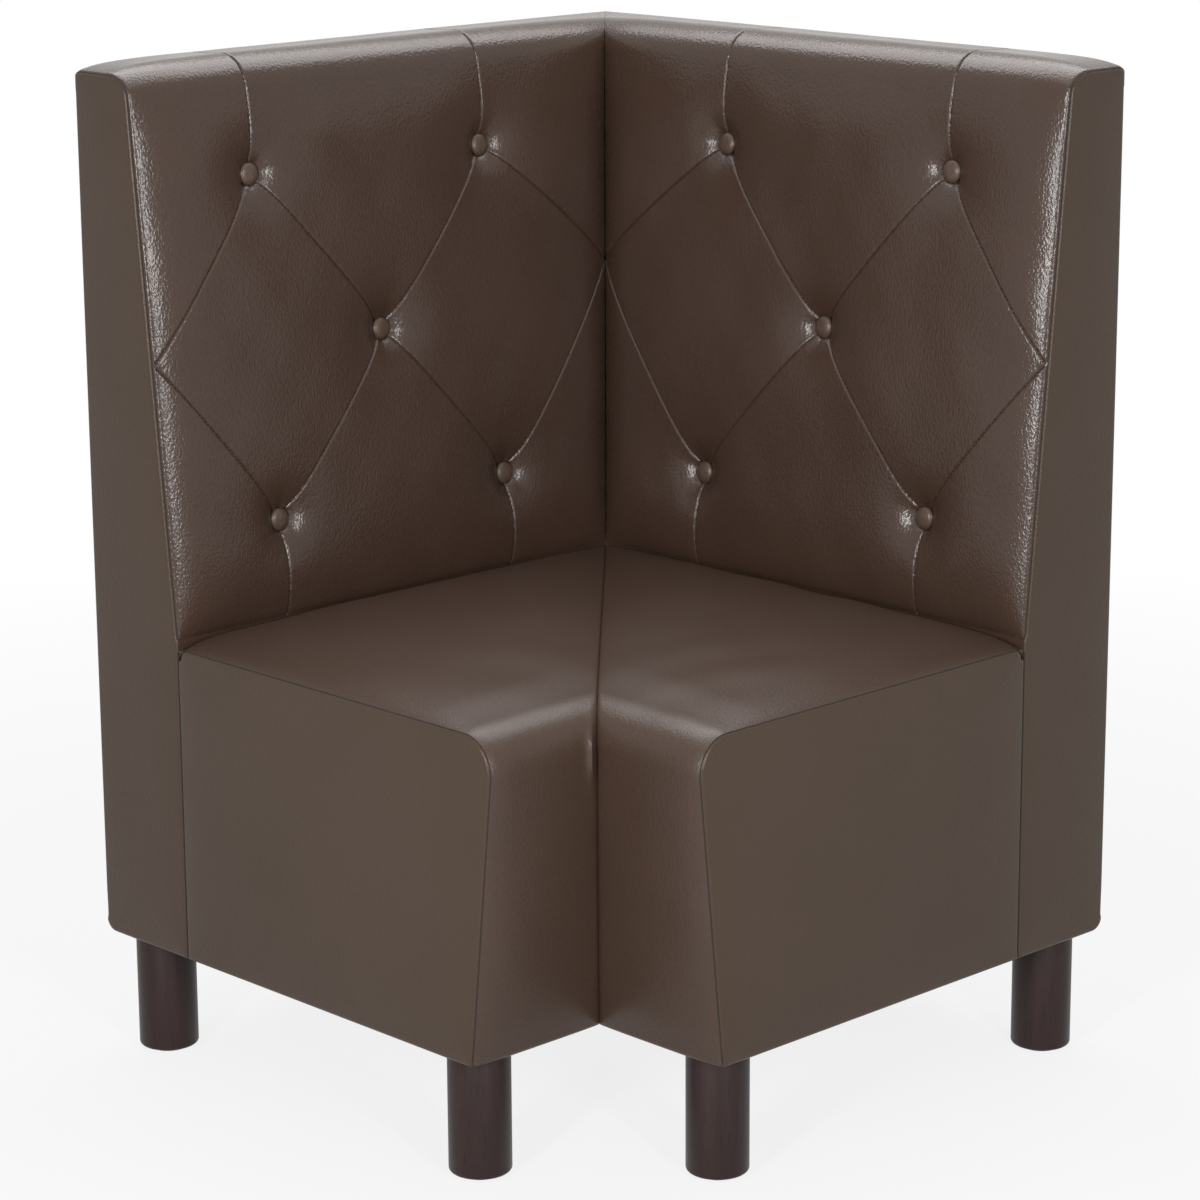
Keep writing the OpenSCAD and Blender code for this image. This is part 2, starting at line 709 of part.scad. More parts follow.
// Legs and fixings
module leg(site) {
    r = leg_d / 2;
    color(wood_dark) translate([site[0], site[1], 0]) difference() {
        rotate_extrude() polygon(concat(
            [[0, glide_t]],
            arc_points([r - leg_edge_r, glide_t + leg_edge_r], leg_edge_r, -90, 0, 5),
            [[r, leg_h], [0, leg_h]]
        ));
        translate([0, 0, leg_h - leg_bolt_in])
            cylinder(h = leg_bolt_in + 1, r = leg_bolt_d / 2 + hole_gap);
    }
}

// Calls its children once at each of the five legs
module at_legs() {
    for (site = [rear_leg_site, front_leg_site, corner_leg_site])
        left_arm() translate([site[0], site[1], 0]) children();
    for (site = [rear_leg_site, front_leg_site])
        right_arm() translate([site[0], site[1], 0]) children();
}

module leg_insert_hole(site) {
    translate([site[0], site[1], frame_bottom - 1]) {
        cylinder(h = insert_l + 1, d = insert_d);
        cylinder(h = leg_bolt_out + 2, r = leg_bolt_d / 2 + hole_gap);
    }
}

module leg_inserts() {
    color(steel_grey) at_legs() translate([0, 0, frame_bottom]) difference() {
        cylinder(h = insert_l, d = insert_d);
        translate([0, 0, -1]) cylinder(h = insert_l + 2, r = leg_bolt_d / 2 + hole_gap);
    }
}

module leg_bolts() {
    color(steel_grey) at_legs() translate([0, 0, leg_h - leg_bolt_in])
        cylinder(h = leg_bolt_in + leg_bolt_out, d = leg_bolt_d);
}

module leg_glides() {
    color(cloth_black) at_legs() cylinder(h = glide_t, d = glide_d);
}

module joining_holes() {
    at_joining_bolts() {
        translate([0, 0, -soft_gap - join_insert_l])
            cylinder(h = join_insert_l + soft_gap, d = join_insert_d);
        translate([0, 0, board_t - join_bolt_l - 1])
            cylinder(h = join_bolt_l + 2, r = join_bolt_d / 2 + hole_gap);
    }
}

module joining_bolts() {
    module arm_bolts() {
        at_joining_bolts() {
            translate([0, 0, board_t - join_bolt_l]) cylinder(h = join_bolt_l, d = join_bolt_d);
            translate([0, 0, board_t]) cylinder(h = join_head_h, d = join_head_d, $fn = 6);
        }
    }
    color(steel_grey) {
        left_arm() arm_bolts();
        right_arm() arm_bolts();
    }
}

module joining_inserts() {
    module arm_inserts() {
        at_joining_bolts() translate([0, 0, -soft_gap - join_insert_l]) difference() {
            cylinder(h = join_insert_l, d = join_insert_d);
            translate([0, 0, -1]) cylinder(h = join_insert_l + 2, r = join_bolt_d / 2 + hole_gap);
        }
    }
    color(steel_grey) {
        left_arm() arm_inserts();
        right_arm() arm_inserts();
    }
}

left_arm() back_cheek();  // left_back_cheek
right_arm() back_cheek();  // right_back_cheek
left_arm() back_top_rail();  // left_back_top_rail
right_arm() back_top_rail();  // right_back_top_rail
left_arm() back_middle_rail();  // left_back_middle_rail
right_arm() back_middle_rail();  // right_back_middle_rail
left_arm() back_ledge_rail();  // left_back_ledge_rail
right_arm() back_ledge_rail();  // right_back_ledge_rail
left_arm() back_bottom_rail();  // left_back_bottom_rail
right_arm() back_bottom_rail();  // right_back_bottom_rail
corner_post();
corner_block();
left_arm() back_board();  // left_back_board
right_arm() back_board();  // right_back_board
left_arm() back_foam();  // left_back_foam
right_arm() back_foam();  // right_back_foam
left_arm() back_quilt();  // left_back_quilt
right_arm() back_quilt();  // right_back_quilt
left_arm() back_end_cover();  // left_back_end_cover
right_arm() back_end_cover();  // right_back_end_cover
left_arm() rear_board();  // left_rear_board
right_arm() rear_board();  // right_rear_board
left_arm() rear_cover();  // left_rear_cover
right_arm() rear_cover();  // right_rear_cover
left_arm() back_buttons();  // left_back_buttons
right_arm() back_buttons();  // right_back_buttons
left_arm() button_twines();  // left_button_twines
right_arm() button_twines();  // right_button_twines
left_arm() button_anchors();  // left_button_anchors
right_arm() button_anchors();  // right_button_anchors
left_arm() seat_end_board();  // left_seat_end_board
right_arm() seat_end_board();  // right_seat_end_board
left_arm() seat_front_board();  // left_seat_front_board
right_arm() seat_front_board();  // right_seat_front_board
left_arm() seat_rear_board();  // left_seat_rear_board
right_arm() seat_rear_board();  // right_seat_rear_board
left_arm() seat_deck();  // left_seat_deck
right_arm() seat_deck();  // right_seat_deck
diagonal_brace();
left_arm() leg_block();  // left_leg_block
right_arm() leg_block();  // right_leg_block
left_arm() seat_foam();  // left_seat_foam
right_arm() seat_foam();  // right_seat_foam
left_arm() seat_cover();  // left_seat_cover
right_arm() seat_cover();  // right_seat_cover
left_arm() seat_end_cover();  // left_seat_end_cover
right_arm() seat_end_cover();  // right_seat_end_cover
dust_cover();
left_arm() leg(rear_leg_site);  // left_rear_leg
left_arm() leg(front_leg_site);  // left_front_leg
left_arm() leg(corner_leg_site);  // corner_leg
right_arm() leg(front_leg_site);  // right_front_leg
right_arm() leg(rear_leg_site);  // right_rear_leg
leg_bolts();
leg_inserts();
leg_glides();
joining_bolts();
joining_inserts();
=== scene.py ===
import math

import bpy
import numpy as np
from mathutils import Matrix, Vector
from mathutils.geometry import delaunay_2d_cdt


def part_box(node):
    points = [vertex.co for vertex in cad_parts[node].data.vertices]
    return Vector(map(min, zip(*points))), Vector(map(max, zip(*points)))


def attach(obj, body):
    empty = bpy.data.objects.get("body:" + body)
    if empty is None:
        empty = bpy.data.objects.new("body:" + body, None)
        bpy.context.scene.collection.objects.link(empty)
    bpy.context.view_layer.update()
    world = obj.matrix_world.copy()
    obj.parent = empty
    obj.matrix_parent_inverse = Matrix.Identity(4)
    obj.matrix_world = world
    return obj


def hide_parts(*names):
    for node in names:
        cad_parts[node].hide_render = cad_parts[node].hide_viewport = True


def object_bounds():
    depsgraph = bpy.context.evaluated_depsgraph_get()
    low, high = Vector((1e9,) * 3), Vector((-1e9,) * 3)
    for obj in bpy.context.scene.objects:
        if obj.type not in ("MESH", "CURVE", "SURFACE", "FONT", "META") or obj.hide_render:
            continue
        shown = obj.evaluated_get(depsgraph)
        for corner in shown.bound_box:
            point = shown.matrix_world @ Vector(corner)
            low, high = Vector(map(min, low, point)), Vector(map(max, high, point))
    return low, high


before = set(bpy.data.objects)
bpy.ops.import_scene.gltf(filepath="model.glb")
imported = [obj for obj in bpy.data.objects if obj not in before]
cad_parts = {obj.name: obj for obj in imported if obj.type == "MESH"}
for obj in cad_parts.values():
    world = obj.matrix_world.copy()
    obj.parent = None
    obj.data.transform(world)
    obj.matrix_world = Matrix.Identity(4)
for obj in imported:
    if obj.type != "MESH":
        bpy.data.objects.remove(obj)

cad_low, cad_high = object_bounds()

# Studio
# A pale floor and a white room. Two tall narrow soft boxes stand beside the camera, which looks along the
# bench's diagonal. A large lamp hangs behind and above the corner, and a smaller one right overhead.
camera_place = (2.642, -2.558, 1.400)
camera_turn = (75.756, 0.319, 45.870)
camera_lens = 114.53
camera_film = 36.0
room_light = 0.10
floor_side = 14.0
floor_white = 0.62
floor_glow_near = 0.84
shadow_reach = 0.9
white_reach = 2.2


def add_node(tree, kind, inputs=None, **settings):
    node = tree.nodes.new(kind)
    for key, value in settings.items():
        setattr(node, key, value)
    for socket, value in (inputs or {}).items():
        if isinstance(value, bpy.types.NodeSocket):
            tree.links.new(value, node.inputs[socket])
        else:
            node.inputs[socket].default_value = value
    return node


def maths(tree, operation, *values):
    return add_node(tree, "ShaderNodeMath", dict(enumerate(values)), operation=operation).outputs[0]


def ranged(tree, value, low, high, start=0.0, stop=1.0, **settings):
    """A value that goes from start to stop while another goes from low to high."""
    limits = {0: value, 1: low, 2: high, 3: start, 4: stop}
    return add_node(tree, "ShaderNodeMapRange", limits, **settings).outputs[0]


def object_place(tree):
    return add_node(tree, "ShaderNodeTexCoord").outputs["Object"]


def seen_ray(tree):
    """1 for what the camera, a gloss or a glass sees, and 0 for the light that falls on the bench."""
    rays = add_node(tree, "ShaderNodeLightPath").outputs
    seen = maths(tree, "MAXIMUM", rays["Is Camera Ray"], rays["Is Glossy Ray"])
    return maths(tree, "MAXIMUM", seen, rays["Is Transmission Ray"])


def new_finish(name):
    finish = bpy.data.materials.new(name)
    finish.use_nodes = True
    finish.node_tree.nodes.clear()
    return finish, finish.node_tree


def add_object(name, data):
    thing = bpy.data.objects.new(name, data)
    bpy.context.scene.collection.objects.link(thing)
    return thing


def soft_box(name, place, aim, width, height, power):
    lamp = add_object(name, bpy.data.lights.new(name, "AREA"))
    lamp.data.shape = "RECTANGLE"
    lamp.data.size = width
    lamp.data.size_y = height
    lamp.data.energy = power
    lamp.location = place
    lamp.rotation_euler = (Vector(aim) - Vector(place)).to_track_quat("-Z", "Y").to_euler()


camera = add_object("bench_camera", bpy.data.cameras.new("bench_camera"))
camera.location = camera_place
camera.rotation_euler = [math.radians(turn) for turn in camera_turn]
camera.data.sensor_width = camera_film
camera.data.lens = camera_lens
bpy.context.scene.camera = camera

bpy.context.scene.view_settings.view_transform = "Standard"

room = bpy.data.worlds.new("white_room")
room.use_nodes = True
tree = room.node_tree
tree.nodes.clear()
dim_light = add_node(tree, "ShaderNodeBackground", {"Color": (0.98, 0.99, 1.0, 1.0), "Strength": room_light})
plain_white = add_node(tree, "ShaderNodeBackground", {"Color": (1.0, 1.0, 1.0, 1.0), "Strength": 1.0})
room_mix = add_node(
    tree, "ShaderNodeMixShader", {0: seen_ray(tree), 1: dim_light.outputs[0], 2: plain_white.outputs[0]}
)
add_node(tree, "ShaderNodeOutputWorld", {"Surface": room_mix.outputs[0]})
bpy.context.scene.world = room

soft_box("right_soft_box", (2.60, -1.05, 1.15), (0.0, 0.0, 0.7), 0.26, 1.3, 43.0)
soft_box("left_soft_box", (1.05, -2.60, 1.15), (0.0, 0.0, 0.7), 0.26, 1.3, 53.5)
soft_box("rear_light", (-0.62, 0.62, 2.45), (0.15, -0.15, 0.5), 2.6, 1.1, 46.0)
soft_box("top_light", (0.2, -0.2, 2.5), (0.1, -0.1, 0.5), 1.6, 1.6, 11.0)

floor_mesh = bpy.data.meshes.new("floor")
half_floor = floor_side / 2
floor_mesh.from_pydata(
    [(-half_floor, -half_floor, 0), (half_floor, -half_floor, 0),
     (half_floor, half_floor, 0), (-half_floor, half_floor, 0)],
    [], [(0, 1, 2, 3)],
)
floor = add_object("floor", floor_mesh)
floor_finish, tree = new_finish("pale_floor")
floor_paint = add_node(tree, "ShaderNodeBsdfDiffuse", {"Color": (floor_white, floor_white, floor_white, 1.0)})
floor_glow = add_node(tree, "ShaderNodeEmission", {"Strength": 1.0})
floor_distance = add_node(tree, "ShaderNodeVectorMath", {0: object_place(tree)}, operation="LENGTH")
floor_fade = ranged(tree, floor_distance.outputs["Value"], shadow_reach, white_reach, floor_glow_near, 1.0)
floor_mix = add_node(tree, "ShaderNodeMixShader", {
    0: maths(tree, "MULTIPLY", floor_fade, seen_ray(tree)),
    1: floor_paint.outputs[0], 2: floor_glow.outputs[0],
})
add_node(tree, "ShaderNodeOutputMaterial", {"Surface": floor_mix.outputs[0]})
floor_mesh.materials.append(floor_finish)

# Wooden frame
# Cheeks, rails, post, blocks, boards, decks and brace of birch plywood, glued and stapled before any
# cover goes on. All of it is out of sight, and each board shows its plies along its edges.
ply_boards = {
    "X": [
        "left_back_top_rail", "left_back_middle_rail", "left_back_ledge_rail", "left_back_bottom_rail",
        "left_back_board", "left_seat_front_board", "left_seat_rear_board", "right_back_cheek",
        "right_seat_end_board", "left_rear_board",
    ],
    "Y": [
        "right_back_top_rail", "right_back_middle_rail", "right_back_ledge_rail",
        "right_back_bottom_rail", "right_back_board", "right_seat_front_board",
        "right_seat_rear_board", "left_back_cheek", "left_seat_end_board", "right_rear_board",
        "corner_post", "diagonal_brace",
    ],
    "Z": ["left_seat_deck", "right_seat_deck", "left_leg_block", "right_leg_block", "corner_block"],
}
ply_thickness = 0.0014


def finish_node(name, finish):
    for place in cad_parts[name].material_slots:
        place.material = finish


def noise(tree, place, scale, detail, roughness=0.5):
    values = {"Vector": place, "Scale": scale, "Detail": detail, "Roughness": roughness}
    return add_node(tree, "ShaderNodeTexNoise", values).outputs[0]


def between(tree, share, low, high):
    """The colour at a share of the way from one to another."""
    return add_node(tree, "ShaderNodeMix", {0: share, 6: low, 7: high}, data_type="RGBA").outputs[2]


def raised(tree, height, strength, depth):
    """The surface direction that shows a height as relief of a strength and a depth in metres."""
    values = {"Height": height, "Strength": strength, "Distance": depth}
    return add_node(tree, "ShaderNodeBump", values).outputs[0]


def close_finish(tree, surface):
    shader = add_node(tree, "ShaderNodeBsdfPrincipled", surface)
    add_node(tree, "ShaderNodeOutputMaterial", {"Surface": shader.outputs[0]})


def ply_finish(across):
    finish, tree = new_finish("birch_plywood_" + across.lower())
    place = object_place(tree)
    axes = add_node(tree, "ShaderNodeSeparateXYZ", {0: place})
    layer = maths(tree, "MULTIPLY", axes.outputs[across], 1 / (2 * ply_thickness))
    plies = ranged(tree, maths(tree, "FRACT", layer), 0.46, 0.54)
    stretch = add_node(tree, "ShaderNodeMapping", {0: place, 3: (90.0, 90.0, 12.0)})
    streaks = noise(tree, stretch.outputs[0], 3.0, 6.0)
    grain = between(tree, streaks, (0.52, 0.36, 0.20, 1.0), (0.72, 0.55, 0.35, 1.0))
    edge = between(tree, plies, grain, (0.38, 0.24, 0.13, 1.0))
    close_finish(tree, {
        "Base Color": between(tree, 0.6, grain, edge), "Roughness": 0.62,
        "Normal": raised(tree, streaks, 0.25, 0.0004),
    })
    return finish


for across, boards in ply_boards.items():
    finish = ply_finish(across)
    for board in boards:
        finish_node(board, finish)

# Bolts and inserts
# Zinc plated steel bolts join the seat box to the backs and hold the legs, each in a threaded insert,
# and steel discs behind the back boards hold the button twines.


def pattern_finish(name, texture, values, mask, tones, relief, surface, **settings):
    """A finish whose one pattern mixes two tones, and also gives the relief or the range of roughness."""
    finish, tree = new_finish(name)
    pattern = add_node(tree, texture, {"Vector": object_place(tree), **values}, **settings).outputs[mask]
    surface = {"Base Color": between(tree, pattern, *tones), **surface}
    if relief:
        surface["Normal"] = raised(tree, pattern, *relief)
    if isinstance(surface["Roughness"], tuple):
        surface["Roughness"] = ranged(tree, pattern, 0.0, 1.0, *surface["Roughness"])
    close_finish(tree, surface)
    return finish


steel = pattern_finish(
    "zinc_plated_steel", "ShaderNodeTexNoise", {"Scale": 160.0, "Detail": 4.0}, 0,
    ((0.52, 0.53, 0.54, 1.0), (0.68, 0.69, 0.70, 1.0)), None, {"Roughness": (0.28, 0.46), "Metallic": 1.0},
)
for fixing in ("joining_bolts", "joining_inserts", "leg_bolts", "leg_inserts"):
    finish_node(fixing, steel)
for disc in ("left_button_anchors", "right_button_anchors"):
    finish_node(disc, steel)

# Legs
# Five turned beech legs, stained dark and finished with satin lacquer, each screwed up into its block.
# A black plastic glide is nailed into each foot.
side = 2 * cad_high.x
half_side = side / 2
leg_radius = 0.030
leg_height = 0.122
foot_round = 0.004
top_round = 0.0012
glide_height = 0.003
leg_sides = 96
leg_names = ("left_rear_leg", "left_front_leg", "corner_leg", "right_front_leg", "right_rear_leg")


def ride_root(piece):
    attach(piece, "root")
    return piece


def mesh_piece(name, points, faces, finish, sharp=60.0):
    mesh = bpy.data.meshes.new(name)
    mesh.from_pydata(np.asarray(points).tolist(), [], [tuple(int(i) for i in face) for face in faces])
    mesh.update()
    mesh.shade_smooth()
    mesh.set_sharp_from_angle(angle=math.radians(sharp))
    mesh.materials.append(finish)
    return add_object(name, mesh)


def ring_faces(rings, sides, base=0):
    """Faces between rings of points that follow each other, from the point numbered base."""
    faces = []
    for low in range(base, base + (rings - 1) * sides, sides):
        for i in range(sides):
            j = (i + 1) % sides
            faces.append((low + i, low + j, low + sides + j, low + sides + i))
    return faces


def turned(profile, sides):
    """Points and faces of a turned form, from [radius, height] pairs with an axis point at each end."""
    angles = np.arange(sides) * 2 * math.pi / sides
    points = [(0.0, 0.0, profile[0][1])]
    for radius, height in profile[1:-1]:
        points += [(radius * math.cos(a), radius * math.sin(a), height) for a in angles]
    points.append((0.0, 0.0, profile[-1][1]))
    last = len(points) - 1
    top = last - sides
    faces = [(0, 1 + (i + 1) % sides, 1 + i) for i in range(sides)]
    faces += ring_faces(len(profile) - 2, sides, 1)
    faces += [(top + i, top + (i + 1) % sides, last) for i in range(sides)]
    return np.array(points), faces


def arc(centre, radius, start, stop, steps):
    """Rows of x, y and angle in degrees along an arc."""
    angles = np.linspace(start, stop, steps + 1)
    turn = np.radians(angles)
    return np.stack(
        [centre[0] + radius * np.cos(turn), centre[1] + radius * np.sin(turn), angles], axis=1
    )


dark_wood, tree = new_finish("dark_stained_beech")
fibre = add_node(tree, "ShaderNodeMapping", {0: object_place(tree), 3: (1.0, 1.0, 0.06)}).outputs[0]
bands = noise(tree, fibre, 75.0, 3.0)
pores = ranged(tree, noise(tree, fibre, 620.0, 5.0, 0.6), 0.30, 0.46)
stain = between(tree, bands, (0.013, 0.0068, 0.0068, 1.0), (0.034, 0.0168, 0.0152, 1.0))
close_finish(tree, {
    "Base Color": between(tree, pores, (0.008, 0.005, 0.005, 1.0), stain),
    "Roughness": ranged(tree, bands, 0.0, 1.0, 0.36, 0.48), "Normal": raised(tree, pores, 0.22, 0.0002),
    "Specular IOR Level": 0.22, "Coat Weight": 0.04, "Coat Roughness": 0.2,
})

leg_foot = arc((leg_radius - foot_round, glide_height + foot_round), foot_round, -90, 0, 6)
leg_top = arc((leg_radius - top_round, leg_height - top_round), top_round, 0, 90, 3)
leg_profile = [
    (0.0, glide_height), *leg_foot[:, :2].tolist(), *leg_top[:, :2].tolist(), (0.0, leg_height),
]
for name in leg_names:
    low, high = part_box(name)
    points, faces = turned(leg_profile, leg_sides)
    points[:, 0] += (low.x + high.x) / 2
    points[:, 1] += (low.y + high.y) / 2
    leg = ride_root(mesh_piece(name + "_turned", points, faces, dark_wood, 70.0))
    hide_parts(name)

glide_plastic, tree = new_finish("black_glide_plastic")
pits = noise(tree, object_place(tree), 900.0, 3.0)
close_finish(tree, {
    "Base Color": (0.02, 0.02, 0.02, 1.0), "Roughness": ranged(tree, pits, 0.0, 1.0, 0.4, 0.65),
    "Normal": raised(tree, pits, 0.3, 0.0002),
})
finish_node("leg_glides", glide_plastic)

# Foam
# Cream upholstery foam: a slab on each back board and a block on each seat deck, both cut on the mitre.
# They are drawn in an arm's own frame, as depth from the wall face, distance from the open end and height.
arms = ("left", "right")
seat_height = 0.450
total_height = cad_high.z
back_base = 0.132
back_top = 0.080
quilt_depth = 0.014
foam_depth = 0.028
fine_gap = 0.0003
seat_rear = back_base + fine_gap
seat_top_depth = 0.590
seat_bottom_depth = 0.555
front_cover_depth = 0.008
deck_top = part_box("left_seat_deck")[1].z
foam_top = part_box("left_seat_foam")[1].z
foam_foot = seat_height + 0.001
frame_top = total_height - 0.010
mitre_gap = 0.0003
cover_depth = 0.002
back_slope = (back_base - back_top) / (total_height - seat_height)
back_tilt = math.degrees(math.atan(back_slope))
front_rake = (seat_top_depth - seat_bottom_depth) / (seat_height - leg_height)
rake_tilt = math.degrees(math.atan(front_rake))
back_nose = 0.010
back_foam_round = 0.004
seat_nose = 0.019
seat_foam_round = 0.008
rear_cut = 0.017
foam_columns = 24


def back_depth(height):
    return back_base - back_slope * np.maximum(0.0, height - seat_height)


def front_depth(height):
    return seat_bottom_depth + front_rake * (height - leg_height)


def arm_place(arm, depth, along, height):
    """World points of an arm: the right arm is the left one mirrored on the bench's diagonal."""
    depth, along, height = np.broadcast_arrays(depth, along, height)
    if arm == "left":
        return np.stack([depth - half_side, along - half_side, height], axis=-1)
    return np.stack([half_side - along, half_side - depth, height], axis=-1)


def arm_faces(arm, faces):
    return faces if arm == "left" else [face[::-1] for face in faces]


def foam_block(name, arm, section, rounding):
    """A section in depth and height, drawn along the arm from its open end to the mitre."""
    section = np.array(section)
    count = len(section)
    points = []
    for share in np.linspace(0.0, 1.0, foam_columns + 1):
        along = cover_depth + share * (side - section[:, 0] - mitre_gap - cover_depth)
        points.append(arm_place(arm, section[:, 0], along, section[:, 1]))
    faces = [tuple(range(count)), tuple(foam_columns * count + i for i in range(count))[::-1]]
    faces += [(b, a, d, c) for a, b, c, d in ring_faces(foam_columns + 1, count)]
    piece = mesh_piece(name, np.concatenate(points), arm_faces(arm, faces), foam_finish, 40.0)
    bevel = piece.modifiers.new("soft_edges", "BEVEL")
    bevel.width = rounding
    bevel.segments = 3
    bevel.limit_method = "ANGLE"
    return ride_root(piece)


foam_finish = pattern_finish(
    "cream_foam", "ShaderNodeTexVoronoi", {"Scale": 800.0}, 0,
    ((0.62, 0.55, 0.36, 1.0), (0.86, 0.80, 0.60, 1.0)), (0.6, 0.0006), {"Roughness": 0.95},
)
foam_front = back_depth(seat_height) - quilt_depth
nose_height = frame_top - back_nose
nose_front = back_depth(nose_height) - quilt_depth
back_section = [
    (foam_front - foam_depth, foam_foot), (foam_front, foam_foot), (nose_front, nose_height),
    (nose_front - back_nose, frame_top), (back_depth(frame_top) - quilt_depth - foam_depth, frame_top),
]
nose_low = foam_top - seat_nose
seat_front = front_depth(nose_low) - front_cover_depth
seat_section = [
    (seat_rear, deck_top), (front_depth(deck_top) - front_cover_depth, deck_top), (seat_front, nose_low),
    (seat_front - seat_nose, foam_top), (seat_rear + rear_cut, foam_top), (seat_rear, foam_top - rear_cut),
]
for arm in arms:
    back_foam = foam_block(arm + "_back_foam_slab", arm, back_section, back_foam_round)
    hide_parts(arm + "_back_foam")
    seat_foam = foam_block(arm + "_seat_foam_block", arm, seat_section, seat_foam_round)
    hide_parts(arm + "_seat_foam")

# Hidden button twines
# Waxed polyester twine runs from each button through foam and board to a steel disc behind it. It is
# pulled tight and knotted there, which is what sinks the button into the padding.
twine_finish = pattern_finish(
    "waxed_twine", "ShaderNodeTexWave", {"Scale": 260.0, "Distortion": 1.5}, 1,
    ((0.36, 0.30, 0.20, 1.0), (0.70, 0.64, 0.50, 1.0)), (0.6, 0.0004), {"Roughness": 0.7},
    bands_direction="DIAGONAL",
)
for arm in arms:
    finish_node(arm + "_button_twines", twine_finish)

# Quilted backs
# Brown artificial leather with a fine pebble grain, sewn from diamond pieces and padded with wadding.
# Twine pulls it in at five buttons, so it swells between the seams and rolls over the top of the frame.
# Behind the seat each one is drawn down by a plain pull strip, which is stapled to the ledge rail.
roll_radius = 0.030
edge_radius = 0.008
tail_height = 0.030
roll_height = total_height - roll_radius
roll_depth = float(back_depth(roll_height)) - roll_radius / math.cos(math.radians(back_tilt))
quilt_foot = seat_height + fine_gap
quilt_padding = 0.0125
roll_padding = 0.009
roll_thinning = 0.04
end_seam_inset = 0.0016
end_seam_width = 0.0008
end_sink_most = 0.0065
end_sink_reach = 0.024
button_pitch = 0.152
button_first = (side - back_base) / 2 - button_pitch
button_last = button_first + 2 * button_pitch
button_top = total_height - 0.112
button_low = seat_height + 0.097
button_middle = (button_top + button_low) / 2
corner_seam_lift = 0.034
button_sink = 0.003
button_pin = 0.0112
button_clear = 0.019
button_rings = (0.007, 0.0095, 0.0115, 0.0135, 0.0165)
ring_points = 28
ring_twist = 300
pin_grid = 0.004
swell = 2.0
foam_rise = 0.0145
foam_reach = 0.025
load_wave = 0.16
load_unevenness = 0.06
top_slack = 0.97
top_slack_start = 0.03
top_slack_reach = 0.11
solver_rounds = 900
solver_limit = 1e-16
seam_pull = 4.0
seam_depth = 0.0020
seam_width = 0.0009
stitch_pitch = 0.0046
stitch_bite = 0.22
pucker_height = 0.00016
pucker_pitch = 0.0115
pucker_reach = 0.006
fold_height = 0.00034
fold_start = 0.011
fold_reach = 0.014
fold_counts = (3, 5, 8)
full_turn = 6.28
ripple_waves = 14
soft_wave = 0.085
soft_height = 0.00022
edge_calm = 0.02
top_calm = 0.06
top_calm_least = 0.25
mitre_slope = 0.9
quilt_spacing = 0.0052
quilt_offsets = [0.0, 0.0005, -0.0005, 0.0011, -0.0011, 0.0019, -0.0019, 0.0030, -0.0030, 0.0045, -0.0045]
edge_rows = [0.0004, 0.0009, 0.0017, 0.0030, 0.0048]
border_step = 0.0035
seam_point_step = 0.0015
seam_point_gap = 0.0006
seam_button_gap = 0.0045
ring_gap = 0.001
ring_seam_gap = 0.0050
rim_seam_gap = 0.0040
field_rim_gap = 0.0072
field_seam_gap = 0.0068
quilt_point_gap = 0.00038
lining_spacing = 0.03
border_marks = 220
quilt_seed = 11
fold_seed = 31
pull_depth = 0.036
pull_gap = 0.0001
pull_foot = quilt_foot - pull_gap - pull_depth
pull_start = 0.0018
pull_stop = side - back_base - fine_gap
pull_spacing = 0.012
pull_face = 0.0002
pull_back = 0.0010


def path_of(*parts):
    """A path in depth and height with the slant of its outer side, as its running length and its rows."""
    rows = np.concatenate([np.atleast_2d(np.array(part, float)) for part in parts])
    steps = np.hypot(*np.diff(rows[:, :2], axis=0).T)
    return np.concatenate([[0.0], np.cumsum(steps)]), rows


def on_path(path, run):
    """Depth, height and the two parts of the outer side's direction at a running length."""
    length, rows = path
    slant = np.radians(np.interp(run, length, rows[:, 2]))
    depth = np.interp(run, length, rows[:, 0])
    height = np.interp(run, length, rows[:, 1])
    return depth, height, np.cos(slant), np.sin(slant)


def off_path(path, along, run, high):
    """Where a point lies that stands out from a path by a height."""
    depth, height, out, up = on_path(path, run)
    return depth + high * out, along, height + high * up


def sampled(line, step):
    """Points at an even step along a line of [x, y] points, both ends kept."""
    line = np.array(line, float)
    run = np.concatenate([[0.0], np.cumsum(np.hypot(*np.diff(line, axis=0).T))])
    marks = np.linspace(0.0, run[-1], max(2, int(round(run[-1] / step)) + 1))
    return np.stack([np.interp(marks, run, line[:, 0]), np.interp(marks, run, line[:, 1])], axis=1)


def outline_of(sides, step):
    """A closed outline from sides that follow each other, with their corners kept."""
    return np.concatenate([sampled(part, step)[:-1] for part in sides])


def looped(outline):
    return np.concatenate([outline, outline[:1]])


def four_sided(corners, step):
    """A closed outline with four straight sides."""
    return outline_of([corners[0:2], corners[1:3], corners[2:4], [corners[3], corners[0]]], step)


def line_reach(points, line):
    """How far each point is from a line, and how far along the line its nearest place is."""
    line = np.asarray(line, float)
    best = np.full(len(points), np.inf)
    along = np.zeros(len(points))
    run = 0.0
    for start, stop in zip(line[:-1], line[1:]):
        span = stop - start
        length = float(np.hypot(*span))
        share = np.clip(((points - start) @ span) / max(length * length, 1e-16), 0.0, 1.0)
        reach = np.hypot(*(points - start - share[:, None] * span).T)
        nearer = reach < best
        best[nearer] = reach[nearer]
        along[nearer] = run + share[nearer] * length
        run += length
    return best, along


def within(points, outline):
    x, y = points.T
    inside = np.zeros(len(points), bool)
    for (x0, y0), (x1, y1) in zip(outline, np.roll(outline, -1, axis=0)):
        if y0 != y1:
            inside ^= ((y0 > y) != (y1 > y)) & (x < (x1 - x0) * (y - y0) / (y1 - y0) + x0)
    return inside


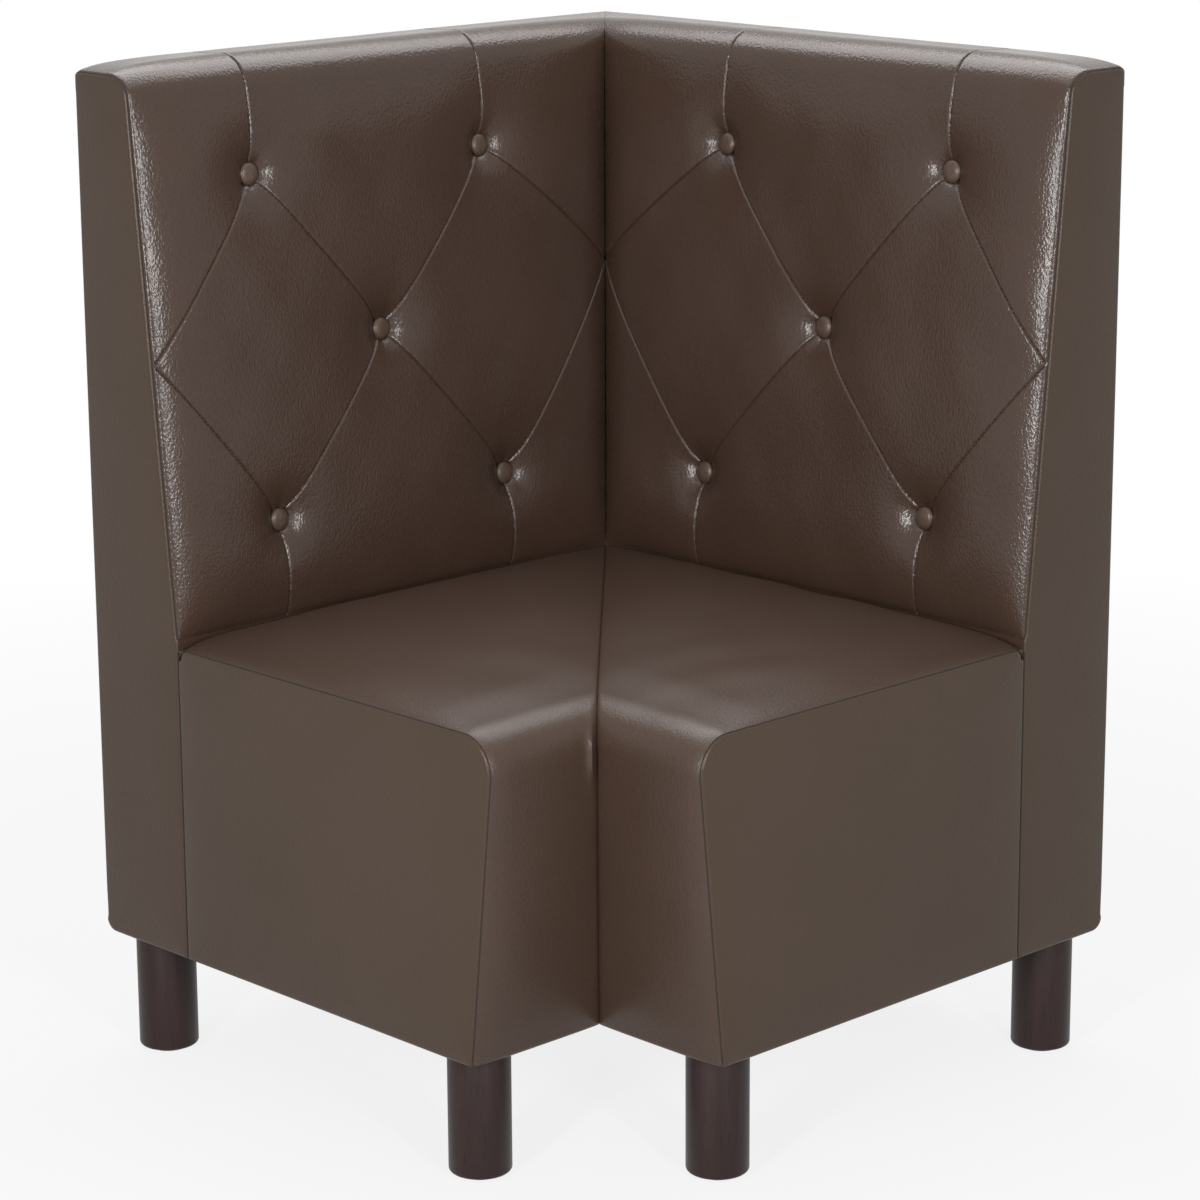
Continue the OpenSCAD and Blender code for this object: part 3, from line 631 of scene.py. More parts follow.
def even_points(outline, spacing):
    """Points on a staggered grid inside an outline."""
    low = outline.min(axis=0)
    high = outline.max(axis=0)
    rise = spacing * math.sqrt(3) / 2
    rows = []
    for number, y in enumerate(np.arange(low[1] + rise / 2, high[1], rise)):
        x = np.arange(low[0] + spacing * (0.5 + 0.5 * (number % 2)), high[0], spacing)
        rows.append(np.stack([x, np.full(len(x), y)], axis=1))
    points = np.concatenate(rows)
    return points[within(points, outline)]


def beside(line, offsets, closed=False):
    """Rows of points beside a line, at each offset to its left."""
    line = np.asarray(line, float)
    if closed:
        span = np.roll(line, -1, axis=0) - np.roll(line, 1, axis=0)
    else:
        span = np.gradient(line, axis=0)
    span /= np.hypot(*span.T)[:, None] + 1e-12
    left = np.stack([-span[:, 1], span[:, 0]], axis=1)
    return np.concatenate([line + offset * left for offset in offsets])


def filled(border, points):
    """Triangles over a closed border and the points inside it."""
    every = np.concatenate([border, points])
    count = len(border)
    edges = [(i, (i + 1) % count) for i in range(count)]
    places, _, faces, sources, _, _ = delaunay_2d_cdt([Vector(p) for p in every.tolist()], edges, [], 1, 1e-8)
    first = {source: number for number, group in enumerate(sources) for source in group}
    order = [first[i] for i in range(count)]
    rest = sorted(set(range(len(places))) - set(order))
    new_number = {old: new for new, old in enumerate(order + rest)}
    flat = np.array([places[i] for i in order + rest])
    return flat, [tuple(new_number[i] for i in face) for face in faces]


def skin(name, arm, border, points, outer, lining, finish):
    """A closed leather piece: outer and lining turn flat points into depth, distance along and height."""
    face_points, faces = filled(border, points)
    back_points, back_faces = filled(border, even_points(border, lining_spacing))
    count = len(border)
    start = len(face_points)
    places = np.concatenate([
        arm_place(arm, *outer(face_points[:, 0], face_points[:, 1])),
        arm_place(arm, *lining(back_points[:, 0], back_points[:, 1])),
    ])
    faces = faces + [tuple(start + i for i in face)[::-1] for face in back_faces]
    for i in range(count):
        j = (i + 1) % count
        faces.append((j, i, start + i, start + j))
    return ride_root(mesh_piece(name, places, arm_faces(arm, faces), finish, 55.0))


def thinned(points, border, spacing, lines=(), gap=0.0):
    """Leaves out the points that lie too near the border or one of the lines."""
    kept = points[within(points, border)]
    kept = kept[line_reach(kept, looped(border))[0] > spacing]
    for line in lines:
        kept = kept[line_reach(kept, line)[0] > gap]
    return kept


def apart(points, cell):
    """One point in each small cell."""
    _, first = np.unique(np.round(points / cell).astype(int), axis=0, return_index=True)
    return points[np.sort(first)]


def ripple(x, y, wave, seed):
    """Soft uneven swelling, about 1 high, with waves of about the given length."""
    dice = np.random.default_rng(seed)
    total = np.zeros_like(x)
    for _ in range(ripple_waves):
        angle = dice.uniform(0.0, 2 * math.pi)
        pitch = 2 * math.pi / (wave * dice.uniform(0.6, 1.7))
        way = x * math.cos(angle) + y * math.sin(angle)
        total = total + np.sin(pitch * way + dice.uniform(0.0, full_turn))
    return total / math.sqrt(ripple_waves / 2)


quilt_path = path_of(
    (back_base, quilt_foot, back_tilt),
    arc((roll_depth, roll_height), roll_radius, back_tilt, 90.0, 14),
    arc((edge_radius, total_height - edge_radius), edge_radius, 90.0, 180.0, 8),
    (0.0, total_height - tail_height, 180.0),
)
quilt_length = quilt_path[0][-1]
open_end = cover_depth


def run_at(height):
    """Running length on the quilt's front at a height."""
    return (height - quilt_foot) / math.cos(math.radians(back_tilt))


def mitre_at(path, run):
    """Distance along the arm at which a cover meets the other arm's."""
    return side - on_path(path, run)[0] - mitre_gap / 2


def mitred_border(path, count, step):
    """The flat outline of a cover that runs from the open end to the mitre."""
    length = path[0][-1]
    marks = np.linspace(0.0, length, count)
    return outline_of([
        [(open_end, 0.0), (float(mitre_at(path, 0.0)), 0.0)],
        np.stack([mitre_at(path, marks), marks], axis=1),
        [(float(mitre_at(path, length)), length), (open_end, length)],
        [(open_end, length), (open_end, 0.0)],
    ], step)


upper = [(button_first, run_at(button_top)), (button_last, run_at(button_top))]
middle = (button_first + button_pitch, run_at(button_middle))
lower = [(button_first, run_at(button_low)), (button_last, run_at(button_low))]
button_sites = [*upper, middle, *lower]
end_anchor = (open_end, run_at(button_middle))
corner_run = run_at(button_middle + corner_seam_lift)
corner_anchor = (float(mitre_at(quilt_path, corner_run)), corner_run)
quilt_seams = [
    [upper[0], (upper[0][0], quilt_length)], [upper[1], (upper[1][0], quilt_length)],
    [upper[0], end_anchor], [end_anchor, lower[0]], [upper[0], middle], [upper[1], middle],
    [upper[1], corner_anchor], [corner_anchor, lower[1]], [middle, lower[0]], [middle, lower[1]],
    [lower[0], (lower[0][0], 0.0)], [lower[1], (lower[1][0], 0.0)],
]


def clear_of_buttons(points, reach):
    """The points that lie farther than a reach from every button."""
    for x, y in button_sites:
        points = points[np.hypot(points[:, 0] - x, points[:, 1] - y) > reach]
    return points


def grid_weights(places):
    """The four grid points round each place and their shares."""
    cell = np.floor(places / pin_grid).astype(int)
    share = places / pin_grid - cell
    shares = []
    cells = []
    for across in (0, 1):
        for up in (0, 1):
            cells.append((cell[:, 1] + up, cell[:, 0] + across))
            shares.append(np.abs(1 - across - share[:, 0]) * np.abs(1 - up - share[:, 1]))
    return cells, shares


def swollen_quilt(seed):
    """Height of the padded leather over its path: a stretched skin with taut seams and pinned buttons."""
    columns = int(side / pin_grid) + 3
    rows = int(quilt_length / pin_grid) + 3
    along, run = np.meshgrid(np.arange(columns) * pin_grid, np.arange(rows) * pin_grid)
    free = (along > open_end) & (along < mitre_at(quilt_path, run))
    free &= (run > 0.0) & (run < quilt_length - 0.5 * tail_height)
    rise = np.zeros_like(along)
    for site in button_sites:
        pinned = np.hypot(along - site[0], run - site[1]) < button_pin
        free &= ~pinned
        rise[pinned] = -button_sink
    over_top = np.clip((run - run_at(button_top) - top_slack_start) / top_slack_reach, 0.0, 1.0)
    load = (swell + foam_rise / foam_reach ** 2) * (1.0 - top_slack * over_top)
    load = load * (1.0 + load_unevenness * ripple(along, run, load_wave, seed))
    load = np.where(free, load * pin_grid * pin_grid, 0.0)
    threads = [grid_weights(sampled(seam, pin_grid)) for seam in quilt_seams]

    def pulled(field):
        force = (4 + (pin_grid / foam_reach) ** 2) * field
        force[1:] -= field[:-1]
        force[:-1] -= field[1:]
        force[:, 1:] -= field[:, :-1]
        force[:, :-1] -= field[:, 1:]
        for cells, shares in threads:
            line = sum(share * field[cell] for cell, share in zip(cells, shares))
            bend = np.zeros_like(line)
            steps = np.diff(line) * seam_pull
            bend[:-1] -= steps
            bend[1:] += steps
            for cell, share in zip(cells, shares):
                np.add.at(force, cell, share * bend)
        return np.where(free, force, 0.0)

    left = np.where(free, load - pulled(rise), 0.0)
    way = left.copy()
    size = float((left * left).sum())
    for _ in range(solver_rounds):
        push = pulled(way)
        step = size / float((way * push).sum())
        rise += step * way
        left -= step * push
        new_size = float((left * left).sum())
        if new_size < solver_limit:
            break
        way = left + (new_size / size) * way
        size = new_size
    return rise


def grid_value(field, x, y):
    """Smooth value of a grid field between its points."""
    cell_x = np.floor(x / pin_grid).astype(int)
    cell_y = np.floor(y / pin_grid).astype(int)
    t = x / pin_grid - cell_x
    u = y / pin_grid - cell_y

    def weights(w):
        return [
            0.5 * (-w + 2 * w * w - w ** 3), 0.5 * (2 - 5 * w * w + 3 * w ** 3),
            0.5 * (w + 4 * w * w - 3 * w ** 3), 0.5 * (w ** 3 - w * w),
        ]

    total = np.zeros_like(x)
    for i, share_y in enumerate(weights(u)):
        row = np.clip(cell_y + i - 1, 0, field.shape[0] - 1)
        for j, share_x in enumerate(weights(t)):
            column = np.clip(cell_x + j - 1, 0, field.shape[1] - 1)
            total = total + share_y * share_x * field[row, column]
    return total


def leather_group():
    """Pebble grain with painted shade in its valleys, soft creases and uneven tone of artificial leather, by
    grain size in metres.
    """
    group = bpy.data.node_groups.new("leather_skin", "ShaderNodeTree")
    for way, sockets in (
        ("INPUT", {"Grain size": "Float", "Stretch": "Float", "Dullness": "Float",
                   "Light tone": "Color", "Dark tone": "Color"}),
        ("OUTPUT", {"Colour": "Color", "Roughness": "Float", "Height": "Float"}),
    ):
        for name, kind in sockets.items():
            group.interface.new_socket(name, in_out=way, socket_type="NodeSocket" + kind)
    given = add_node(group, "NodeGroupInput").outputs
    place = object_place(group)

    def vectors(operation, first, second):
        return add_node(group, "ShaderNodeVectorMath", {0: first, 1: second}, operation=operation).outputs[0]

    upright = add_node(group, "ShaderNodeCombineXYZ", {0: 1.0, 1: 1.0, 2: given["Stretch"]})
    stretched = vectors("MULTIPLY", place, upright.outputs[0])
    wander = add_node(group, "ShaderNodeTexNoise", {"Vector": stretched, "Scale": 420.0, "Detail": 2.0})
    nudge = vectors("MULTIPLY", wander.outputs["Color"], (0.0012, 0.0012, 0.0012))
    density = maths(group, "DIVIDE", 1.0, given["Grain size"])
    pebbles = add_node(
        group, "ShaderNodeTexVoronoi", {"Vector": vectors("ADD", stretched, nudge), "Scale": density},
        feature="SMOOTH_F1",
    )
    pebble_height = ranged(
        group, pebbles.outputs["Distance"], 0.15, 0.75, 1.0, 0.0, interpolation_type="SMOOTHSTEP"
    )
    relief = maths(group, "MULTIPLY_ADD", noise(group, stretched, 170.0, 3.0), 0.2, pebble_height)
    patch = ranged(group, noise(group, place, 9.0, 4.0), 0.3, 0.7, 0.25, 0.75)
    # Painted shade: the tone is darker in the valleys between the pebbles and lighter on their tops; the
    # large patches are the leather's own uneven tone.
    tone = maths(group, "MULTIPLY_ADD", pebble_height, 0.45, patch)
    add_node(group, "NodeGroupOutput", {
        "Colour": between(group, tone, given["Dark tone"], given["Light tone"]),
        "Roughness": maths(group, "ADD", given["Dullness"], ranged(group, tone, 0.2, 1.1, 0.045, -0.045)),
        "Height": relief,
    })
    return group


leather_skin = leather_group()


def leather_finish(name, light, dark, relief, dullness, shine=0.36, grain=0.0020, stretch=0.66):
    finish, tree = new_finish(name)
    surface = add_node(tree, "ShaderNodeGroup", {
        "Grain size": grain, "Stretch": stretch, "Dullness": dullness,
        "Light tone": (*light, 1.0), "Dark tone": (*dark, 1.0),
    }, node_tree=leather_skin).outputs
    close_finish(tree, {
        "Base Color": surface["Colour"], "Roughness": surface["Roughness"],
        "Normal": raised(tree, surface["Height"], relief, 0.0003), "Specular IOR Level": shine,
    })
    return finish


# Painted shade: the quilting's leather tones are set darker than those of the plain panels, for the shade in
# the corner between the backs.
quilt_leather_painted_darker = leather_finish(
    "brown_leather_painted_darker", (0.0505, 0.0290, 0.0203), (0.0368, 0.0210, 0.0146), 0.50, 0.25
)


def seam_shape(along, run):
    """Height of the sewn grooves and the small puckers beside them."""
    places = np.stack([along, run], axis=1)
    groove = np.zeros(len(places))
    for seam in quilt_seams:
        reach, mark = line_reach(places, seam)
        depth = seam_depth * (1.0 + stitch_bite * np.cos(2 * math.pi * mark / stitch_pitch))
        groove = np.minimum(groove, -depth * np.exp(-(reach / seam_width) ** 2))
        groove += pucker_height * np.sin(2 * math.pi * mark / pucker_pitch) * np.exp(-reach / pucker_reach)
    return groove


def dimple_folds(along, run, seed):
    """Short soft folds that run out from each button."""
    dice = np.random.default_rng(seed)
    folds = np.zeros_like(along)
    for site in button_sites:
        reach = np.hypot(along - site[0], run - site[1])
        angle = np.arctan2(run - site[1], along - site[0])
        for count in fold_counts:
            swing = np.cos(count * angle + dice.uniform(0.0, full_turn))
            folds += fold_height * swing * np.exp(-np.maximum(0.0, reach - fold_start) / fold_reach)
    return folds


def end_sink(height, from_end):
    """How far the rolled top sinks towards the seam at the open end."""
    share = np.clip((height - total_height + end_sink_reach) / end_sink_reach, 0.0, 1.0)
    share = end_sink_most * share * share * (3.0 - 2.0 * share)
    return share * np.exp(-np.maximum(0.0, from_end) / end_sink_reach)


def quilt_surface(field, seed):
    """The outer side of one quilted back, from its swollen form, as a function of flat points."""
    def outer(along, run):
        mitre = mitre_at(quilt_path, run)
        from_end = along - open_end
        high = grid_value(field, along, run)
        inner = 1.0 - np.exp(-np.maximum(0.0, np.minimum(from_end, mitre - along)) / edge_calm)
        past_top = run - run_at(total_height - top_calm)
        top_share = np.clip(1.0 - past_top / top_calm, top_calm_least, 1.0)
        high = high + inner * top_share * soft_height * ripple(along, run, soft_wave, seed)
        high = high + inner * dimple_folds(along, run, seed + 1) + seam_shape(along, run)
        high = np.minimum(high, mitre_slope * np.maximum(0.0, mitre - along))
        high = high - end_seam_inset * np.exp(-np.maximum(0.0, from_end) / end_seam_width)
        depth, along, height = off_path(quilt_path, along, run, high)
        return depth, along, height - end_sink(on_path(quilt_path, run)[1], from_end)
    return outer


def quilt_lining(along, run):
    over_roll = np.clip((run - run_at(roll_height)) / roll_thinning, 0.0, 1.0)
    padding = quilt_padding + (roll_padding - quilt_padding) * over_roll
    thick = np.where(run > quilt_length - tail_height, cover_depth, padding)
    depth, along, height = off_path(quilt_path, along, run, -thick)
    return depth, along, height - end_sink(on_path(quilt_path, run)[1], along - open_end)


def upright_side(depth):
    def side_at(along, run):
        return np.full_like(along, depth), along, pull_foot + run
    return side_at


quilt_border = mitred_border(quilt_path, border_marks, border_step)
seam_points = np.concatenate([beside(sampled(seam, seam_point_step), quilt_offsets) for seam in quilt_seams])
seam_points = clear_of_buttons(thinned(seam_points, quilt_border, seam_point_gap), seam_button_gap)
ring_turns = np.arange(ring_points) * 2 * math.pi / ring_points
rings = np.concatenate([
    np.stack([
        site[0] + radius * np.cos(ring_turns + radius * ring_twist),
        site[1] + radius * np.sin(ring_turns + radius * ring_twist),
    ], axis=1)
    for site in button_sites for radius in button_rings
])
rings = thinned(rings, quilt_border, ring_gap, quilt_seams, ring_seam_gap)
rim = beside(quilt_border, edge_rows, closed=True)
rim = thinned(rim, quilt_border, seam_point_gap, quilt_seams, rim_seam_gap)
field = thinned(
    even_points(quilt_border, quilt_spacing), quilt_border, field_rim_gap, quilt_seams, field_seam_gap
)
field = clear_of_buttons(field, button_clear)
quilt_points = apart(np.concatenate([seam_points, rings, rim, field]), quilt_point_gap)
pull_border = four_sided(
    [(pull_start, 0.0), (pull_stop, 0.0), (pull_stop, pull_depth), (pull_start, pull_depth)], pull_spacing
)
quilt_surfaces = {}
for number, arm in enumerate(arms):
    quilt_surfaces[arm] = quilt_surface(swollen_quilt(quilt_seed + number), fold_seed + number)
    quilt = skin(
        arm + "_quilted_back", arm, quilt_border, quilt_points, quilt_surfaces[arm], quilt_lining,
        quilt_leather_painted_darker,
    )
    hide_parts(arm + "_back_quilt")
    pull = skin(
        arm + "_quilt_pull", arm, pull_border, even_points(pull_border, pull_spacing),
        upright_side(back_base + pull_face), upright_side(back_base - pull_back), quilt_leather_painted_darker,
    )

# Stitches of the quilting
# Thick brown polyester thread, lockstitched by machine, shows as short dashes in the seams between the
# diamonds. Near-black cords of painted shade lie deeper down, in the seams of the open ends.
thread_finish = pattern_finish(
    "brown_thread", "ShaderNodeTexWave", {"Scale": 700.0, "Distortion": 0.5}, 1,
    ((0.035, 0.023, 0.017, 1.0), (0.095, 0.068, 0.052, 1.0)), (0.5, 0.0002), {"Roughness": 0.55},
    bands_direction="DIAGONAL",
)
# Painted shade: a near-black finish for cords laid in seam grooves and joints, where shadow falls.
seam_shade_finish = pattern_finish(
    "painted_seam_shade", "ShaderNodeTexWave", {"Scale": 600.0, "Distortion": 0.5}, 1,
    ((0.006, 0.004, 0.003, 1.0), (0.014, 0.009, 0.007, 1.0)), None, {"Roughness": 0.8},
    bands_direction="DIAGONAL",
)
thread_radius = 0.00042
thread_sides = 6
thread_rings = ((0.0, 0.35, 0.9), (0.18, 1.0, 0.2), (0.82, 1.0, 0.2), (1.0, 0.35, 0.9))
stitch_length = 0.0033
stitch_lift = 0.0004
stitch_end_gap = 0.004
stitch_button_gap = 0.012
thread_step = 0.001
probe = 0.001


def tube_faces(rings, sides, base=0):
    """Faces of a closed tube, from the point numbered base."""
    last = base + (rings - 1) * sides
    ends = [tuple(range(base, base + sides))[::-1], tuple(range(last, last + sides))]
    return ends + ring_faces(rings, sides, base)


def stitch_mesh(name, arm, spans):
    """Short round-ended threads between pairs of world points, with the surface's outer direction there."""
    points = []
    faces = []
    angles = np.arange(thread_sides) * 2 * math.pi / thread_sides
    for start, stop, out in spans:
        along = stop - start
        length = np.linalg.norm(along)
        along = along / length
        across = np.cross(along, out)
        across /= np.linalg.norm(across)
        up = np.cross(across, along)
        faces += tube_faces(len(thread_rings), thread_sides, len(points))
        for share, size, sink in thread_rings:
            centre = start + share * length * along - sink * thread_radius * up
            for angle in angles:
                turn = math.cos(angle) * across + math.sin(angle) * up
                points.append(centre + size * thread_radius * turn)
    return ride_root(mesh_piece(name, points, faces, thread_finish, 80.0))


def seam_stitches(arm, line, outer, lift):
    """Stitch ends along a flat line, lifted off the surface that outer describes."""
    marks = sampled(line, stitch_pitch)
    spans = []
    for mark, following in zip(marks[:-1], marks[1:]):
        centre = (mark + following) / 2
        half = (following - mark) / np.hypot(*(following - mark)) * stitch_length / 2
        flat = np.array([centre - half, centre + half, centre, centre + (probe, 0.0), centre + (0.0, probe)])
        places = arm_place(arm, *outer(flat[:, 0], flat[:, 1]))
        out = np.cross(places[3] - places[2], places[4] - places[2])
        if arm == "right":
            out = -out
        out /= np.linalg.norm(out)
        spans.append((places[0] + lift * out, places[1] + lift * out, out))
    return spans


for arm in arms:
    spans = []
    for seam in quilt_seams:
        line = clear_of_buttons(sampled(seam, thread_step), stitch_button_gap)
        off_mitre = mitre_at(quilt_path, line[:, 1]) - stitch_end_gap
        line = line[(line[:, 0] > open_end + stitch_end_gap) & (line[:, 0] < off_mitre)]
        spans += seam_stitches(arm, line, quilt_surfaces[arm], stitch_lift)
    stitch_mesh(arm + "_back_stitches", arm, spans)

# Covered buttons
# Domed buttons wrapped in the same leather, their edges softly gathered, seated in the quilting's dimples.
# Each is pressed together over the leather's edge and hangs on its twine by a loop under the cap.
button_radius = 0.0115
button_height = 0.007
button_waist = 0.0016
button_sides = 48
button_gathers = 14
gather_depth = 0.011
button_lean = 0.03
button_seat = 0.0002
button_leather = leather_finish(
    "brown_button_leather", (0.074, 0.047, 0.034), (0.052, 0.032, 0.023), 0.3, 0.34
)


def button_form():
    """Profile of a covered button, from the middle of its underside to the middle of its dome."""
    profile = [(0.0, 0.0), (button_radius * 0.86, 0.0), (button_radius * 0.97, button_waist * 0.45)]
    for angle in np.radians(np.linspace(0.0, 84.0, 12)):
        radius = button_radius * math.cos(angle) ** 0.62
        profile.append((radius, button_waist + (button_height - button_waist) * math.sin(angle)))
    profile.append((0.0, button_height))
    return profile


for arm in arms:
    points = []
    faces = []
    for number, (along, run) in enumerate(button_sites):
        form, form_faces = turned(button_form(), button_sides)
        angle = np.arctan2(form[:, 1], form[:, 0])
        edge = np.clip(1.0 - form[:, 2] / button_height, 0.0, 1.0)
        form[:, :2] *= (1.0 + gather_depth * edge * np.cos(button_gathers * angle + number))[:, None]
        form[:, 2] *= 1.0 + button_lean * np.cos(angle + 1.7 * number)
        depth, height, out, up = on_path(quilt_path, run)
        lift = form[:, 2] - button_sink + button_seat
        depth = depth + lift * out - form[:, 1] * up
        height = height + lift * up + form[:, 1] * out
        faces += [tuple(len(points) + i for i in face) for face in form_faces]
        points += arm_place(arm, depth, along + form[:, 0], height).tolist()
    buttons = mesh_piece(arm + "_covered_buttons", points, arm_faces(arm, faces), button_leather, 75.0)
    ride_root(buttons)
    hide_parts(arm + "_back_buttons")

# End panels of the backs
# A plain leather panel over thin foam closes each back's open end, sewn to the quilting up the front and
# over the top, and turned round the board at the seat, the bottom and the wall side. A near-black cord
# of painted shade lies at the bottom of the seam's groove, where the shadow falls.
# Painted light: the plain leather is the quilting's leather with lighter tones, for the stronger light on the
# end panels; the wall sides share it.
plain_leather_painted_lighter = leather_finish(
    "brown_leather_painted_lighter", (0.0578, 0.0362, 0.0234), (0.0490, 0.0305, 0.0195), 0.3, 0.34, shine=0.24
)
wrap_radius = 0.014
panel_round = 0.0034
panel_crown = 0.0016
panel_proud = 0.0002
panel_wave = 0.19
panel_fade = 0.022
panel_seam_width = 0.0010
panel_lining = 0.0018
panel_rows = [0.0006, 0.0013, 0.0022, 0.0034, 0.0052, 0.008]
panel_rim = 0.0088
panel_field_gap = 0.0115
panel_point_gap = 0.0004
panel_spacing = 0.0075
panel_step = 0.003
back_panel_seed = 51
# The near-black cords of painted shade in the seams: their size, rise and sides.
cord_radius = 0.0006
cord_rise = 0.0003
cord_sides = 8
back_cord_points = 330
back_cord_stop = 0.004


def inset_points(path, inset, run):
    """Points of a path moved inwards, and the direction of its outer side there."""
    depth, height, out, up = on_path(path, run)
    return np.stack([depth - inset * out, height - inset * up], axis=1), np.stack([out, up], axis=1)


def inset_path(path, inset):
    """A whole path moved inwards, with its points at the panels' step."""
    length = path[0][-1]
    count = max(2, int(round(length / panel_step)) + 1)
    return inset_points(path, inset, np.linspace(0.0, length, count))[0]


def end_panel(name, arm, border, turned_under, seed, slack=1.0):
    """A padded end panel. turned_under gives how far the edge near flat points is rounded, not sewn."""
    closed = looped(border)
    rim = thinned(beside(border, panel_rows, closed=True), border, panel_point_gap)
    rim = rim[line_reach(rim, closed)[0] < panel_rim]
    field = thinned(even_points(border, panel_spacing), border, panel_field_gap)

    def outer(depth, height):
        reach, _ = line_reach(np.stack([depth, height], axis=1), closed)
        under = turned_under(depth, height)
        sewn = end_seam_inset * np.exp(-(reach / panel_seam_width) ** 1.4)
        nearness = np.clip(panel_round - reach, 0.0, panel_round)
        rounded = panel_round - np.sqrt(np.maximum(0.0, panel_round ** 2 - nearness ** 2))
        inner = 1.0 - np.exp(-reach / panel_fade)
        proud = panel_crown * slack * inner + soft_height * inner * ripple(depth, height, panel_wave, seed)
        along = -panel_proud - proud + (1.0 - under) * sewn + under * rounded
        return depth, along, height

    def lining(depth, height):
        return depth, np.full_like(depth, cover_depth + panel_lining), height

    points = apart(np.concatenate([rim, field]), panel_point_gap)
    return skin(name, arm, border, points, outer, lining, plain_leather_painted_lighter)


def soft_step(value, low, high):
    share = np.clip((value - low) / (high - low), 0.0, 1.0)
    return share * share * (3.0 - 2.0 * share)


wrap_arc = arc((wrap_radius, leg_height + wrap_radius), wrap_radius, 180.0, 270.0, 8)[:, :2]
rear_line = [(end_seam_inset, total_height - tail_height - 0.002), (end_seam_inset, leg_height + wrap_radius)]
back_end_border = np.concatenate([
    outline_of([[(wrap_radius, leg_height), (back_base, leg_height), (back_base, quilt_foot)]], panel_step),
    inset_path(quilt_path, end_seam_inset)[1:],
    outline_of([rear_line], panel_step),
    wrap_arc[1:-1],
])
back_end_border[:, 1] -= end_sink(back_end_border[:, 1], 0.0)


def back_end_turned(depth, height):
    below_seat = 1.0 - soft_step(height, seat_height - 0.02, seat_height + 0.006)
    return np.where(depth > 0.1, below_seat, 1.0 - soft_step(height, leg_height + 0.02, leg_height + 0.05))


def shade_cord(name, arm, centres, outs, along, radius):
    """A closed round cord of painted shade down in a seam, along points of depth and height."""
    turns = np.arange(cord_sides) * 2 * math.pi / cord_sides
    lift = radius * np.cos(turns)
    points = []
    for (depth, height), (out, up) in zip(centres, outs):
        places = arm_place(arm, depth + lift * out, along + radius * np.sin(turns), height + lift * up)
        points += places.tolist()
    faces = arm_faces(arm, tube_faces(len(centres), cord_sides))
    ride_root(mesh_piece(name, points, faces, seam_shade_finish, 80.0))


for number, arm in enumerate(arms):
    marks = np.linspace(0.0, quilt_length - back_cord_stop, back_cord_points)
    centres, outs = inset_points(quilt_path, end_seam_inset - cord_rise, marks)
    centres[:, 1] -= end_sink(on_path(quilt_path, marks)[1], 0.0)
    # A near-black cord of painted shade lies at the bottom of the end seam's groove.
    shade_cord(arm + "_back_seam_painted_shade", arm, centres, outs, open_end - cord_rise, cord_radius)
    panel = end_panel(
        arm + "_back_end_panel", arm, back_end_border, back_end_turned, back_panel_seed + number
    )
    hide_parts(arm + "_back_end_cover")

# Wall sides of the backs
# The side that stands against the wall is covered with a plain leather sheet, stretched over hardboard
# and turned under the frame. It meets the quilting's tail near the top.
hem_turn = 0.012
wall_spacing = 0.012
wall_rows = [0.0012, 0.0028, 0.006]
wall_marks = 200
wall_step = 0.006
wall_fullness = 0.0009
wall_wave = 0.2
wall_seed = 71
wall_fade = 0.03
wall_foot_fade = 0.05
wall_dip = 0.0011
wall_dip_width = 0.0016
curl_rows = 9
curl_height = 0.022
hardboard = pattern_finish(
    "brown_hardboard", "ShaderNodeTexNoise", {"Scale": 300.0, "Detail": 6.0}, 0,
    ((0.16, 0.08, 0.04, 1.0), (0.28, 0.16, 0.08, 1.0)), (0.2, 0.0003), {"Roughness": 0.7},
)
wall_path = path_of(
    (0.0, total_height - tail_height - fine_gap, 180.0),
    arc((wrap_radius, leg_height + wrap_radius), wrap_radius, 180.0, 270.0, 12),
    (wrap_radius + hem_turn, leg_height, 270.0),
)
wall_length = wall_path[0][-1]
wall_border = mitred_border(wall_path, wall_marks, wall_step)
rim = thinned(beside(wall_border, wall_rows, closed=True), wall_border, 0.0008)
field = thinned(even_points(wall_border, wall_spacing), wall_border, wall_spacing)
curl_runs = wall_length - hem_turn - np.linspace(0.0, curl_height, curl_rows)
curl = [(x, y) for x in np.arange(0.01, side - 0.03, wall_spacing) for y in curl_runs]
curl = thinned(np.array(curl), wall_border, 0.007)
wall_points = apart(np.concatenate([rim, curl, field]), 0.0008)


def wall_outer(seed):
    def outer(along, run):
        reach = np.minimum(np.minimum(along - open_end, mitre_at(wall_path, run) - along), run)
        reach = np.maximum(0.0, reach)
        inner = 1.0 - np.exp(-reach / wall_fade)
        high = wall_fullness * inner * (0.6 + ripple(along, run, wall_wave, seed) * 0.5)
        high = high * np.clip((wall_length - run) / wall_foot_fade, 0.0, 1.0)
        high = high - wall_dip * np.exp(-reach / wall_dip_width)
        return off_path(wall_path, along, run, high)
    return outer


def wall_lining(along, run):
    return off_path(wall_path, along, run, -cover_depth)


for number, arm in enumerate(arms):
    finish_node(arm + "_rear_board", hardboard)
    wall = skin(
        arm + "_wall_side_cover", arm, wall_border, wall_points, wall_outer(wall_seed + number), wall_lining,
        plain_leather_painted_lighter,
    )
    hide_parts(arm + "_rear_cover")

